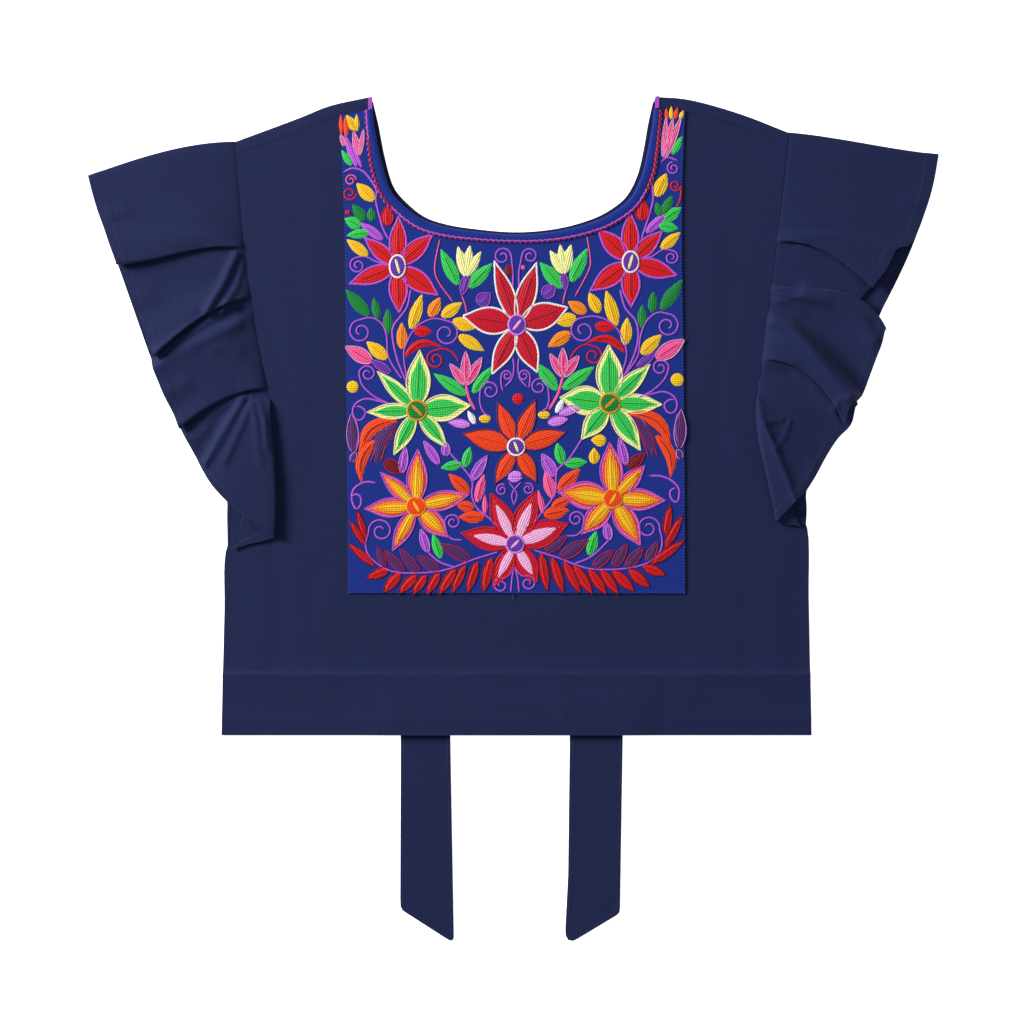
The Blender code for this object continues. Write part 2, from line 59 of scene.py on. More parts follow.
body = {
    "shell": 1.0,
    "hemDepth": 49.5,
    "hemStep": 3.5,
    "hemExtra": 0.8,  # the wide hem, turned up inside
    "shoulderTurn": 10.5,  # how far the back comes over to the front
}
bib = {"shell": 0.8, "rowCells": 9, "sidePoints": 9}
frontBand = {"shell": 0.9, "width": 7.5}
backBand = {"width": 6.0, "rounding": 0.12, "endColumns": 20, "tuck": 0.2}  # tuck: the back's edge under it
tie = {"shell": 1.1, "rounding": 0.35, "level": 0.02, "sewnUnder": 15.0, "margin": 9.0, "ramp": 24.0}
hemY = -177.0
hemTop = hemY + body["hemDepth"]
hemFold = hemTop + body["hemStep"]
tieTop = hemY + tie["sewnUnder"]
bodySections = (
    # left x, left y, right x, right y, from the hem up
    (-240.7, hemY, 242.3, hemY),
    (-240.4, hemY + 12, 242.1, hemY + 12),
    (-240.1, hemY + 26, 241.9, hemY + 26),
    (-239.7, hemTop, 241.4, hemTop),
    (-239.6, hemFold, 241.3, hemFold),
    (-238.4, -74.0, 240.2, -64.0),
    (-237.4, -27.0, 239.0, -7.5),
    (-224.5, -2.5, 224.5, 10.5),
    (-212.5, 24.0, 210.5, 29.0),
    (-203.6, 56.5, 201.0, 56.5),
    (-200.7, 89.5, 197.2, 87.0),
    (-205.1, 116.5, 199.4, 110.0),
    (-211.8, 151.0, 203.8, 146.0),
    (-217.7, 187.0, 209.0, 187.0),
    (-222.8, 230.0, 214.1, 229.0),
    (-226.4, 270.0, 218.9, 272.0),
    (-229.0, 298.5, 222.7, 306.0),
)
shoulderTips = ((-229.9, 309.0), (223.9, 316.5))
underarmRow = 6
leftFold = (shoulderTips[0], (-176.7, 328.8), (-152.0, 338.7), (-118.5, 346.0))
rightFold = ((114.4, 346.0), (143.1, 343.5), (184.0, 332.0), shoulderTips[1])
neckEdge = (
    (-117.0, 335.2),
    (-115.5, 320.6),
    (-110.3, 295.2),
    (-102.9, 270.6),
    (-91.4, 256.7),
    (-77.5, 246.0),
    (-62.0, 240.3),
    (-39.8, 236.2),
    (0.0, 232.9),
    (36.0, 236.0),
    (65.2, 244.0),
    (83.2, 253.4),
    (94.7, 264.0),
    (102.9, 280.4),
    (107.8, 300.1),
    (111.9, 322.3),
    (113.2, 335.2),
)
bibSections = (
    (-136.9, -60.5, 138.6, -60.8),
    (-137.2, -20.0, 138.5, -20.0),
    (-137.5, 20.0, 138.3, 20.0),
    (-137.9, 62.0, 138.0, 62.0),
    (-138.3, 104.0, 137.6, 104.0),
    (-138.7, 146.0, 137.1, 146.0),
    (-139.0, 188.0, 136.5, 188.0),
    (-139.7, 230.0, 136.1, 230.0),
    (-141.5, 282.0, 136.6, 282.0),
    (-143.9, 330.6, 138.6, 332.9),
)
tieOutlines = {
    "tieLeft": (
        (-94.5, -311.0),
        (-94.3, -317.5),
        (-92.6, -320.7),
        (-89.8, -322.8),
        (-59.5, -342.2),
        (-54.0, -345.5),
        (-51.6, -345.4),
        (-50.5, -343.0),
    ),
    "tieRight": (
        (43.1, -292.0),
        (40.8, -336.6),
        (41.1, -341.6),
        (43.2, -345.2),
        (47.2, -345.8),
        (51.4, -343.8),
        (82.9, -324.8),
        (85.2, -322.4),
        (85.7, -319.0),
    ),
}
tieEdges = {"tieLeft": (-94.0, -53.7), "tieRight": (44.7, 88.2)}

# The plan of the embroidery and the creases: X to the right and Y down, in steps of this size,
# from a corner up and left of the garment. planMiddle is the garment's middle on it.
planStep = 0.82
planMiddle = (515.5, 519.0)


def onTable(points):
    p = np.array(points, float).reshape(-1, 2)
    return np.stack([(p[:, 0] - planMiddle[0]) * planStep, (planMiddle[1] - p[:, 1]) * planStep], axis=1)


# Creases in the cloth: how high, how wide to each side, and the path of the crest on the plan
creases = (
    (0.7, 5, ((222, 674), (360, 675), (515, 674), (660, 675), (811, 674))),
    (0.35, 4, ((222, 718), (460, 719))),
    (0.35, 4, ((670, 719), (811, 718))),
    (0.9, 9, ((252, 545), (262, 600), (258, 660))),
    (0.6, 7, ((290, 560), (300, 610), (296, 665))),
    (0.7, 8, ((330, 600), (322, 640), (328, 670))),
    (0.9, 9, ((782, 545), (771, 600), (776, 662))),
    (0.6, 8, ((735, 560), (727, 612), (731, 668))),
    (0.7, 7, ((700, 600), (706, 640), (701, 670))),
    (0.6, 7, ((285, 300), (300, 380), (292, 470))),
    (0.5, 6, ((320, 230), (316, 300), (326, 390))),
    (0.6, 7, ((745, 300), (732, 380), (742, 470))),
    (0.5, 6, ((708, 230), (714, 300), (705, 390))),
    (0.5, 9, ((400, 610), (470, 618), (560, 612), (640, 620))),
    (0.5, 6, ((360, 690), (365, 712))),
    (0.5, 7, ((560, 688), (566, 714))),
    (0.5, 6, ((690, 690), (684, 712))),
    (0.4, 1.5, ((805, 548), (807, 640), (807, 735))),
)
def creaseHeight(x, y, rows=creases):
    x, y = np.asarray(x, float), np.asarray(y, float)
    total = np.zeros(np.broadcast(x, y).shape)
    for height, width, path in rows:
        points = onTable(path)
        nearest = np.full(total.shape, np.inf)
        for a, b in zip(points, points[1:]):
            run = b - a
            share = np.clip(((x - a[0]) * run[0] + (y - a[1]) * run[1]) / run.dot(run), 0, 1)
            nearest = np.minimum(nearest, np.hypot(x - a[0] - share * run[0], y - a[1] - share * run[1]))
        total += height * np.exp(-((nearest / width) ** 2))
    return total


def curveThrough(points, spans):
    p = np.array(points, float)
    p = np.vstack([2 * p[0] - p[1], p, 2 * p[-1] - p[-2]])
    found = []
    for a, b, c, d in zip(p, p[1:], p[2:], p[3:]):
        for t in np.arange(spans) / spans:
            squared = (2 * a - 5 * b + 4 * c - d) * t**2
            cubed = (3 * b - 3 * c + d - a) * t**3
            found.append(0.5 * (2 * b + (c - a) * t + squared + cubed))
    return np.array(found + [p[-2]])


def travelled(p):
    return np.concatenate([[0], np.cumsum(np.linalg.norm(np.diff(p, axis=0), axis=1))])


def evenly(points, count):
    p = np.array(points, float)
    far = travelled(p)
    at = np.linspace(0, far[-1], count)
    return np.stack([np.interp(at, far, p[:, k]) for k in range(p.shape[1])], axis=1)


def atDistance(points, distance):
    p = np.array(points, float)
    far = travelled(p)
    return np.array([np.interp(distance, far, p[:, k]) for k in range(2)])


def intoCloth(path, distance):
    direction = np.gradient(path, axis=0)
    direction /= np.linalg.norm(direction, axis=1)[:, None]
    return path + np.reshape(distance, (-1, 1)) * np.stack([direction[:, 1], -direction[:, 0]], axis=1)


def ramp(value, start, end):
    return np.clip((value - start) / (end - start), 0, 1)


def tieLift(x, y):
    left = tieEdges["tieLeft"][0] - tie["margin"]
    right = tieEdges["tieRight"][1] + tie["margin"]
    across = ramp(x, left - tie["ramp"], left) * ramp(x, right + tie["ramp"], right)
    return (wall + seamGap) * across * ramp(y, tieTop + tie["margin"] + tie["ramp"], tieTop + tie["margin"])


def hemShare(y):
    return ramp(y, hemFold - 0.5, hemTop + 0.5)


# How many cells of a panel lie between two rows of its table, and along its upper edge
rowSplit = 5
shoulderColumns = 14
neckColumns = 84
hemSections = 4
levelRows = hemSections * rowSplit


def patch(sections, topPath):
    # Straight rows as in the table, which bend more and more into the path along the top
    rows = np.array(sections, float)
    left, right = rows[:, :2], rows[:, 2:]
    top = np.array(topPath, float)
    share = (top[:, 0] - left[-1, 0]) / (right[-1, 0] - left[-1, 0])
    straight = (1 - share) * left[-1, 1] + share * right[-1, 1]
    climb = (left[:, 1] - left[0, 1]) / (left[-1, 1] - left[0, 1])

    def place(column, row):
        f = share[column]
        x, y = (1 - f) * left[row] + f * right[row]
        return x, y + max(0, climb[row]) ** 2 * (top[column, 1] - straight[column])

    return place


def bodyPlace(sections, topPath):
    table = np.array(sections, float)
    at = np.arange(levelRows) / rowSplit
    hem = [np.interp(at, np.arange(hemSections + 1), table[: hemSections + 1, k]) for k in range(4)]
    rows = np.vstack([np.stack(hem, axis=1), curveThrough(table[hemSections:], rowSplit)])
    upper = patch(rows[levelRows:], topPath)

    def place(column, row):
        if row >= levelRows:
            return upper(column, row - levelRows)
        x, _ = upper(column, 0)
        share = (x - rows[levelRows][0]) / (rows[levelRows][2] - rows[levelRows][0])
        return (1 - share) * rows[row][:2] + share * rows[row][2:]

    return place


def topColumns(neck):
    left = evenly(curveThrough(leftFold, 4), shoulderColumns + 1)[:-1]
    right = evenly(curveThrough(rightFold, 4), shoulderColumns + 1)[1:]
    return np.vstack([left, neck, right])


def frontColumns(neck):
    top = topColumns(neck)
    last = bodySections[-1]
    top[:shoulderColumns] *= [last[0] / shoulderTips[0][0], 1]
    top[-shoulderColumns:] *= [last[2] / shoulderTips[1][0], 1]
    top[:shoulderColumns, 1] -= body["shoulderTurn"] + seamGap
    top[-shoulderColumns:, 1] -= body["shoulderTurn"] + seamGap
    return top


def frontNeck():
    return evenly(curveThrough(neckEdge, 6), neckColumns + 1)


def backNeck():
    # The back's scoop is a little narrower and higher than the front's
    inner = [(x * 0.974, y + 2.1) for x, y in neckEdge[1:-1]]
    return evenly(curveThrough([leftFold[-1], *inner, rightFold[0]], 6), neckColumns + 1)


def underFrontBand():
    return intoCloth(frontNeck(), bandWall + seamGap)


def backBandDepths():
    # The band narrows to nothing at the neck points
    columns = np.arange(neckColumns + 1)
    fromEnds = np.minimum(columns, columns[::-1])
    return backBand["width"] * np.clip(fromEnds / backBand["endColumns"], 0, 1)


# Materials


def tone(red, green, blue):
    def linear(value):
        value /= 255
        return value / 12.92 if value <= 0.04045 else ((value + 0.055) / 1.055) ** 2.4

    return (linear(red), linear(green), linear(blue), 1)


def newGroup(name, outputs):
    group = bpy.data.node_groups.new(name, "ShaderNodeTree")
    group.interface.new_socket("Vector", in_out="INPUT", socket_type="NodeSocketVector")
    for socket in outputs:
        group.interface.new_socket(socket, in_out="OUTPUT", socket_type="NodeSocketFloat")
    spot = group.nodes.new("NodeGroupInput").outputs["Vector"]
    return group, spot, group.nodes.new("NodeGroupOutput")


def noiseOf(group, source, scale):
    place = group.nodes.new("ShaderNodeMapping")
    place.inputs["Scale"].default_value = scale
    group.links.new(source, place.inputs["Vector"])
    noise = group.nodes.new("ShaderNodeTexNoise")
    noise.inputs["Scale"].default_value = 1
    noise.inputs["Detail"].default_value = 3
    group.links.new(place.outputs["Vector"], noise.inputs["Vector"])
    return noise.outputs["Fac"]


def mathOf(group, operation, first, second):
    node = group.nodes.new("ShaderNodeMath")
    node.operation = operation
    for socket, value in zip(node.inputs, (first, second)):
        if isinstance(value, (int, float)):
            socket.default_value = value
        else:
            group.links.new(value, socket)
    return node.outputs["Value"]


def waveOf(group, source, axis, size, distortion):
    wave = group.nodes.new("ShaderNodeTexWave")
    wave.bands_direction = axis
    wave.inputs["Scale"].default_value = size
    wave.inputs["Distortion"].default_value = distortion
    wave.inputs["Detail Scale"].default_value = 0.4
    group.links.new(source, wave.inputs["Vector"])
    return wave.outputs["Fac"]


# Plain weave with uneven slub yarns both ways. The vector is in metres.
yarn = {"along": 30, "across": 900, "crossings": 420}  # changes of a yarn to a metre, and of the weave
weave, spot, weaveOut = newGroup("Slub weave", ("Height", "Streaks"))
acrossYarns = noiseOf(weave, spot, (yarn["along"], yarn["across"], yarn["along"]))
downYarns = noiseOf(weave, spot, (yarn["across"], yarn["along"], yarn["along"]))
crossings = [waveOf(weave, spot, axis, yarn["crossings"], 1.5) for axis in "XY"]
yarns = mathOf(weave, "MULTIPLY", crossings[0], crossings[1])
slubs = mathOf(weave, "ADD", acrossYarns, downYarns)
relief = mathOf(weave, "ADD", mathOf(weave, "MULTIPLY", yarns, 0.3), mathOf(weave, "MULTIPLY", slubs, 0.7))
weave.links.new(relief, weaveOut.inputs["Height"])
weave.links.new(mathOf(weave, "MULTIPLY", slubs, 0.5), weaveOut.inputs["Streaks"])

# Rows of chain stitches side by side. The vector is in metres along and across the work.
chain = {"loops": 150, "rows": 175, "fibres": (650, 1000, 1)}
stitches, spot, stitchOut = newGroup("Chain stitch rows", ("Height", "Painted shade and fibre tone"))
loops = mathOf(stitches, "MULTIPLY", waveOf(stitches, spot, "X", chain["loops"], 6), 0.4)
rowsOfLoops = waveOf(stitches, spot, "Y", chain["rows"], 1.5)
stitches.links.new(mathOf(stitches, "ADD", rowsOfLoops, loops), stitchOut.inputs["Height"])
# The colour follows the rows of loops: darker in the grooves between them and lighter on their crests,
# which is painted shade and painted light; the fibre noise adds the threads' own uneven tone
paintedRowShade = mathOf(stitches, "MULTIPLY", rowsOfLoops, 0.35)
shade = mathOf(stitches, "ADD", paintedRowShade, noiseOf(stitches, spot, chain["fibres"]))
stitches.links.new(shade, stitchOut.inputs["Painted shade and fibre tone"])


def clothMaterial(name, dark, light, group, source, roughness, depth, sheen):
    material = bpy.data.materials.new(name)
    material.use_nodes = True
    nodes, links = material.node_tree.nodes, material.node_tree.links
    shader = nodes["Principled BSDF"]
    shader.inputs["Roughness"].default_value = roughness
    shader.inputs["Sheen Weight"].default_value = sheen
    shader.inputs["Sheen Roughness"].default_value = 0.5
    shader.inputs["Specular IOR Level"].default_value = 0.25
    place = nodes.new("ShaderNodeTexCoord")
    pattern = nodes.new("ShaderNodeGroup")
    pattern.node_tree = group
    links.new(place.outputs[source], pattern.inputs["Vector"])
    mix = nodes.new("ShaderNodeMix")
    mix.data_type = "RGBA"
    mix.inputs["A"].default_value = dark
    mix.inputs["B"].default_value = light
    links.new(pattern.outputs[1], mix.inputs["Factor"])
    links.new(mix.outputs["Result"], shader.inputs["Base Color"])
    bump = nodes.new("ShaderNodeBump")
    bump.inputs["Strength"].default_value = 0.6
    bump.inputs["Distance"].default_value = depth
    links.new(pattern.outputs[0], bump.inputs["Height"])
    links.new(bump.outputs["Normal"], shader.inputs["Normal"])
    return material


def cottonMaterial(name, dark, light, roughness=0.85, depth=0.0003):
    return clothMaterial(name, tone(*dark), tone(*light), weave, "Object", roughness, depth, 0.05)


navy = cottonMaterial("Navy cotton", (9, 18, 53), (19, 30, 76))
royal = cottonMaterial("Royal blue cotton", (3, 26, 102), (8, 42, 138), 0.8, 0.0002)
# The same navy cotton made darker as painted shade for the back's neck binding, which lies in the shadow of
# the front binding's edge
shadedNavy = cottonMaterial("Navy cotton with painted shade", (9, 15, 46), (19, 27, 70))

threadTones = {
    "navyThread": (42, 47, 98),
    "blue": (36, 66, 160),
    "red": (198, 8, 22),
    "darkRed": (104, 6, 22),
    "crimson": (184, 4, 36),
    "vermilion": (222, 62, 12),
    "orange": (250, 128, 10),
    "yellow": (250, 180, 24),
    "cream": (250, 230, 146),
    "white": (246, 243, 243),
    "green": (48, 184, 74),
    "darkGreen": (10, 118, 46),
    "pink": (242, 84, 142),
    "lightPink": (242, 164, 204),
    "lilac": (194, 124, 216),
    "violet": (170, 80, 198),
    "purple": (92, 46, 152),
    "plum": (74, 32, 92),
}


def threadMaterial(colour):
    red, green, blue = threadTones[colour]
    # The darker tone is painted shade in the grooves between the stitch rows and the lighter one is painted
    # light on their crests; both also carry the fibres' own uneven tone
    darker, lighter = 0.55, 1.15
    dark = tone(red * darker, green * darker, blue * darker)
    light = tone(*(min(255, part * lighter) for part in (red, green, blue)))
    return clothMaterial(f"Thread {colour}", dark, light, stitches, "UV", 0.6, 0.0004, 0)


# Cloth pieces


def select(piece):
    bpy.ops.object.select_all(action="DESELECT")
    piece.select_set(True)
    bpy.context.view_layer.objects.active = piece


def clothGrid(name, columns, rows, place, leftOut=None, creased=False):
    # A grid with each corner put in its place, and the cells that are left out taken away
    bpy.ops.object.select_all(action="DESELECT")
    bpy.ops.mesh.primitive_grid_add(x_subdivisions=columns, y_subdivisions=rows, size=2, location=(0, 0, 0))
    piece = bpy.context.object
    piece.name = name
    piece.data.name = name
    cells = {}
    for vertex in piece.data.vertices:
        cells[vertex.index] = (round((vertex.co.x + 1) / 2 * columns), round((vertex.co.y + 1) / 2 * rows))
    if leftOut:
        bpy.context.tool_settings.mesh_select_mode = (False, False, True)
        for part in (*piece.data.vertices, *piece.data.edges):
            part.select = False
        for face in piece.data.polygons:
            column, row = map(min, zip(*(cells[v] for v in face.vertices)))
            face.select = leftOut(column, row)
    points = np.array([place(*cells[v]) for v in range(len(cells))], float)
    if creased:
        points[:, 2] += creaseHeight(points[:, 0], points[:, 1])
    for vertex, point in zip(piece.data.vertices, points):
        vertex.co = point * mm
    if leftOut:
        bpy.ops.object.mode_set(mode="EDIT")
        bpy.ops.mesh.delete(type="FACE")
        bpy.ops.object.mode_set(mode="OBJECT")
    piece.data.update()
    return piece


def makeShell(piece, thickness, offset, weights=None, thinnest=1.0):
    select(piece)
    if weights is not None:
        group = piece.vertex_groups.new(name="Thickness")
        for index, weight in enumerate(weights):
            group.add([index], float(weight), "REPLACE")
    bpy.ops.object.modifier_add(type="SOLIDIFY")
    solid = piece.modifiers["Solidify"]
    solid.thickness = thickness * mm
    solid.offset = offset
    solid.use_quality_normals = True
    if weights is not None:
        solid.vertex_group = "Thickness"
        solid.thickness_vertex_group = thinnest
    bpy.ops.object.modifier_apply(modifier=solid.name)
    bpy.ops.object.shade_smooth_by_angle(angle=math.radians(50))


def finishSheet(piece, material, node, slot, flat, area, under, going=()):
    piece.data.materials.clear()
    piece.data.materials.append(material)
    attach(piece, "root")
    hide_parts(node)
    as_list(under)
    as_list(going)


def surfaceArea(piece):
    return sum(face.area for face in piece.data.polygons)


def hemWeights(piece):
    return [hemShare(v.co.y / mm) for v in piece.data.vertices]


def makeBack():
    radius = (wall + seamGap + body["shell"]) / 2
    steps = 8
    (leftX, leftY), (rightX, rightY) = shoulderTips
    flat = (*bodySections, (leftX, leftY - radius, rightX, rightY - radius))
    depths = backBandDepths()
    fold = topColumns(intoCloth(backNeck(), depths - backBand["tuck"] * (depths > 0)))
    seam = frontColumns(underFrontBand())
    flatTop = fold - [0, radius]
    flatTop[shoulderColumns + 1 : -shoulderColumns - 1] = fold[shoulderColumns + 1 : -shoulderColumns - 1]
    placeFlat = bodyPlace(flat, flatTop)
    last = (len(flat) - 1) * rowSplit
    columns = len(fold) - 1

    def place(column, row):
        x, y = placeFlat(column, min(row, last))
        if row <= last:
            return x, y, tieLift(x, y)
        turn = min(row - last, steps) / steps * math.pi
        if row > last + steps:
            x, y = seam[column] + [0, seamGap]
        else:
            y += radius * math.sin(turn)
        return x, y, radius * (1 - math.cos(turn))

    def inScoop(column, row):
        return row >= last and shoulderColumns <= column < columns - shoulderColumns

    piece = clothGrid("backPanel", columns, last + steps + 1, place, inScoop)
    area = surfaceArea(piece)
    thin = body["shell"] / (body["shell"] + body["hemExtra"])
    makeShell(piece, body["shell"] + body["hemExtra"], 1, hemWeights(piece), thin)
    return piece, area


def makeFront():
    top = frontColumns(underFrontBand())
    placeFlat = bodyPlace(bodySections, top)

    def place(column, row):
        x, y = placeFlat(column, row)
        return x, y, tieLift(x, y) + body["hemExtra"] * hemShare(y) + frontLevel

    piece = clothGrid("frontPanel", len(top) - 1, (len(bodySections) - 1) * rowSplit, place, creased=True)
    area = surfaceArea(piece)
    thin = body["shell"] / (body["shell"] + body["hemExtra"])
    makeShell(piece, body["shell"] + body["hemExtra"], 1, hemWeights(piece), thin)
    return piece, area


def makeBib():
    neck = underFrontBand()
    corners = bibSections[-1]
    left = evenly([corners[:2], neck[0]], bib["sidePoints"])[:-1]
    right = evenly([neck[-1], corners[2:]], bib["sidePoints"])[1:]
    top = np.vstack([left, neck, right])
    rows = curveThrough(bibSections, bib["rowCells"])
    placeFlat = patch(rows, top)

    def place(column, row):
        x, y = placeFlat(column, row)
        return x, y, bibLevel

    piece = clothGrid("bibPanel", len(top) - 1, len(rows) - 1, place, creased=True)
    area = surfaceArea(piece)
    makeShell(piece, bib["shell"], 1)
    return piece, area


def makeFrontBinding():
    path = frontNeck()
    shares = travelled(path) / travelled(path)[-1]
    middle = bandWall / 2
    top = bindingLevel + middle
    # How far in from the edge and how high, from below the edge over it and out to the stitches
    profile = (
        (middle, frontLevel),
        (middle, top - 0.9),
        (middle + 0.25, top - 0.3),
        (middle + 0.9, top),
        (3.0, top + 0.2),
        (5.0, top + 0.15),
        (frontBand["width"], top - 0.3),
    )

    def place(column, row):
        depth, height = profile[row]
        if row == len(profile) - 1:
            # No further out than just past the stitches that hold it
            depth = np.minimum(frontBand["width"], stitchDepth(shares) + 0.4)
        x, y = intoCloth(path, depth)[column]
        return x, y, height

    piece = clothGrid("frontNeckBinding", len(path) - 1, len(profile) - 1, place)
    area = surfaceArea(piece)
    makeShell(piece, frontBand["shell"], 0)
    return piece, area


def makeBackBinding():
    path = backNeck()
    inner, outer = path[1:-1], intoCloth(path, backBandDepths())[1:-1]
    rows = 4

    def place(column, row):
        x, y = outer[column] + (inner[column] - outer[column]) * row / rows
        return x, y, backBand["rounding"] * math.sin(math.pi * row / rows)

    piece = clothGrid("backNeckBinding", len(path) - 3, rows, place)
    area = surfaceArea(piece)
    makeShell(piece, body["shell"], 1)
    return piece, area


# Creases in the front layers of the sleeves, given as those of the body
sleeveCreases = (
    (3.8, 3.4, ((237, 255), (224, 284), (209, 311))),
    (1.6, 2.4, ((246, 254), (237, 288), (223, 313))),
    (3.2, 5, ((228, 306), (210, 320), (186, 335), (162, 352))),
    (1.6, 5, ((150, 372), (178, 352), (205, 340), (238, 325))),
    (3.4, 3.4, ((243, 401), (227, 428), (206, 464))),
    (1.6, 3, ((251, 404), (242, 428), (226, 462))),
    (1.6, 2, ((259, 400), (266, 420), (268, 450))),
    (1.4, 2, ((253, 398), (257, 425), (262, 466))),
    (1.0, 5, ((215, 350), (228, 345), (240, 352))),
    (1.2, 6, ((133, 302), (150, 297))),
    (1.4, 6, ((168, 392), (186, 385))),
    (1.2, 5, ((188, 440), (206, 431))),
    (0.9, 6, ((110, 216), (126, 210))),
    (0.7, 12, ((150, 180), (205, 212))),
    (0.8, 5, ((200, 478), (222, 500), (250, 526))),
    (4.6, 5.5, ((772, 322), (788, 328), (806, 347), (830, 377), (849, 398))),
    (3.8, 6, ((806, 292), (836, 303), (862, 324), (872, 341))),
    (1.4, 4, ((800, 247), (830, 262), (858, 280))),
    (0.8, 3, ((780, 301), (800, 297), (828, 302))),
    (2.6, 5, ((765, 362), (792, 366), (813, 384), (834, 409))),
    (1.2, 5, ((778, 300), (790, 303), (800, 312))),
    (1.6, 2.2, ((838, 421), (833, 409), (838, 401), (847, 398))),
    (2.0, 2, ((759, 418), (770, 440), (784, 475), (795, 503))),
    (1.4, 1.5, ((764, 423), (782, 420))),
    (1.2, 1.5, ((789, 421), (784, 436), (773, 449))),
    (1.2, 1.5, ((822, 297), (827, 293), (832, 297))),
    (0.8, 5, ((812, 466), (800, 492))),
    (0.6, 8, ((848, 148), (905, 160))),
    (0.8, 5, ((905, 205), (918, 200))),
)

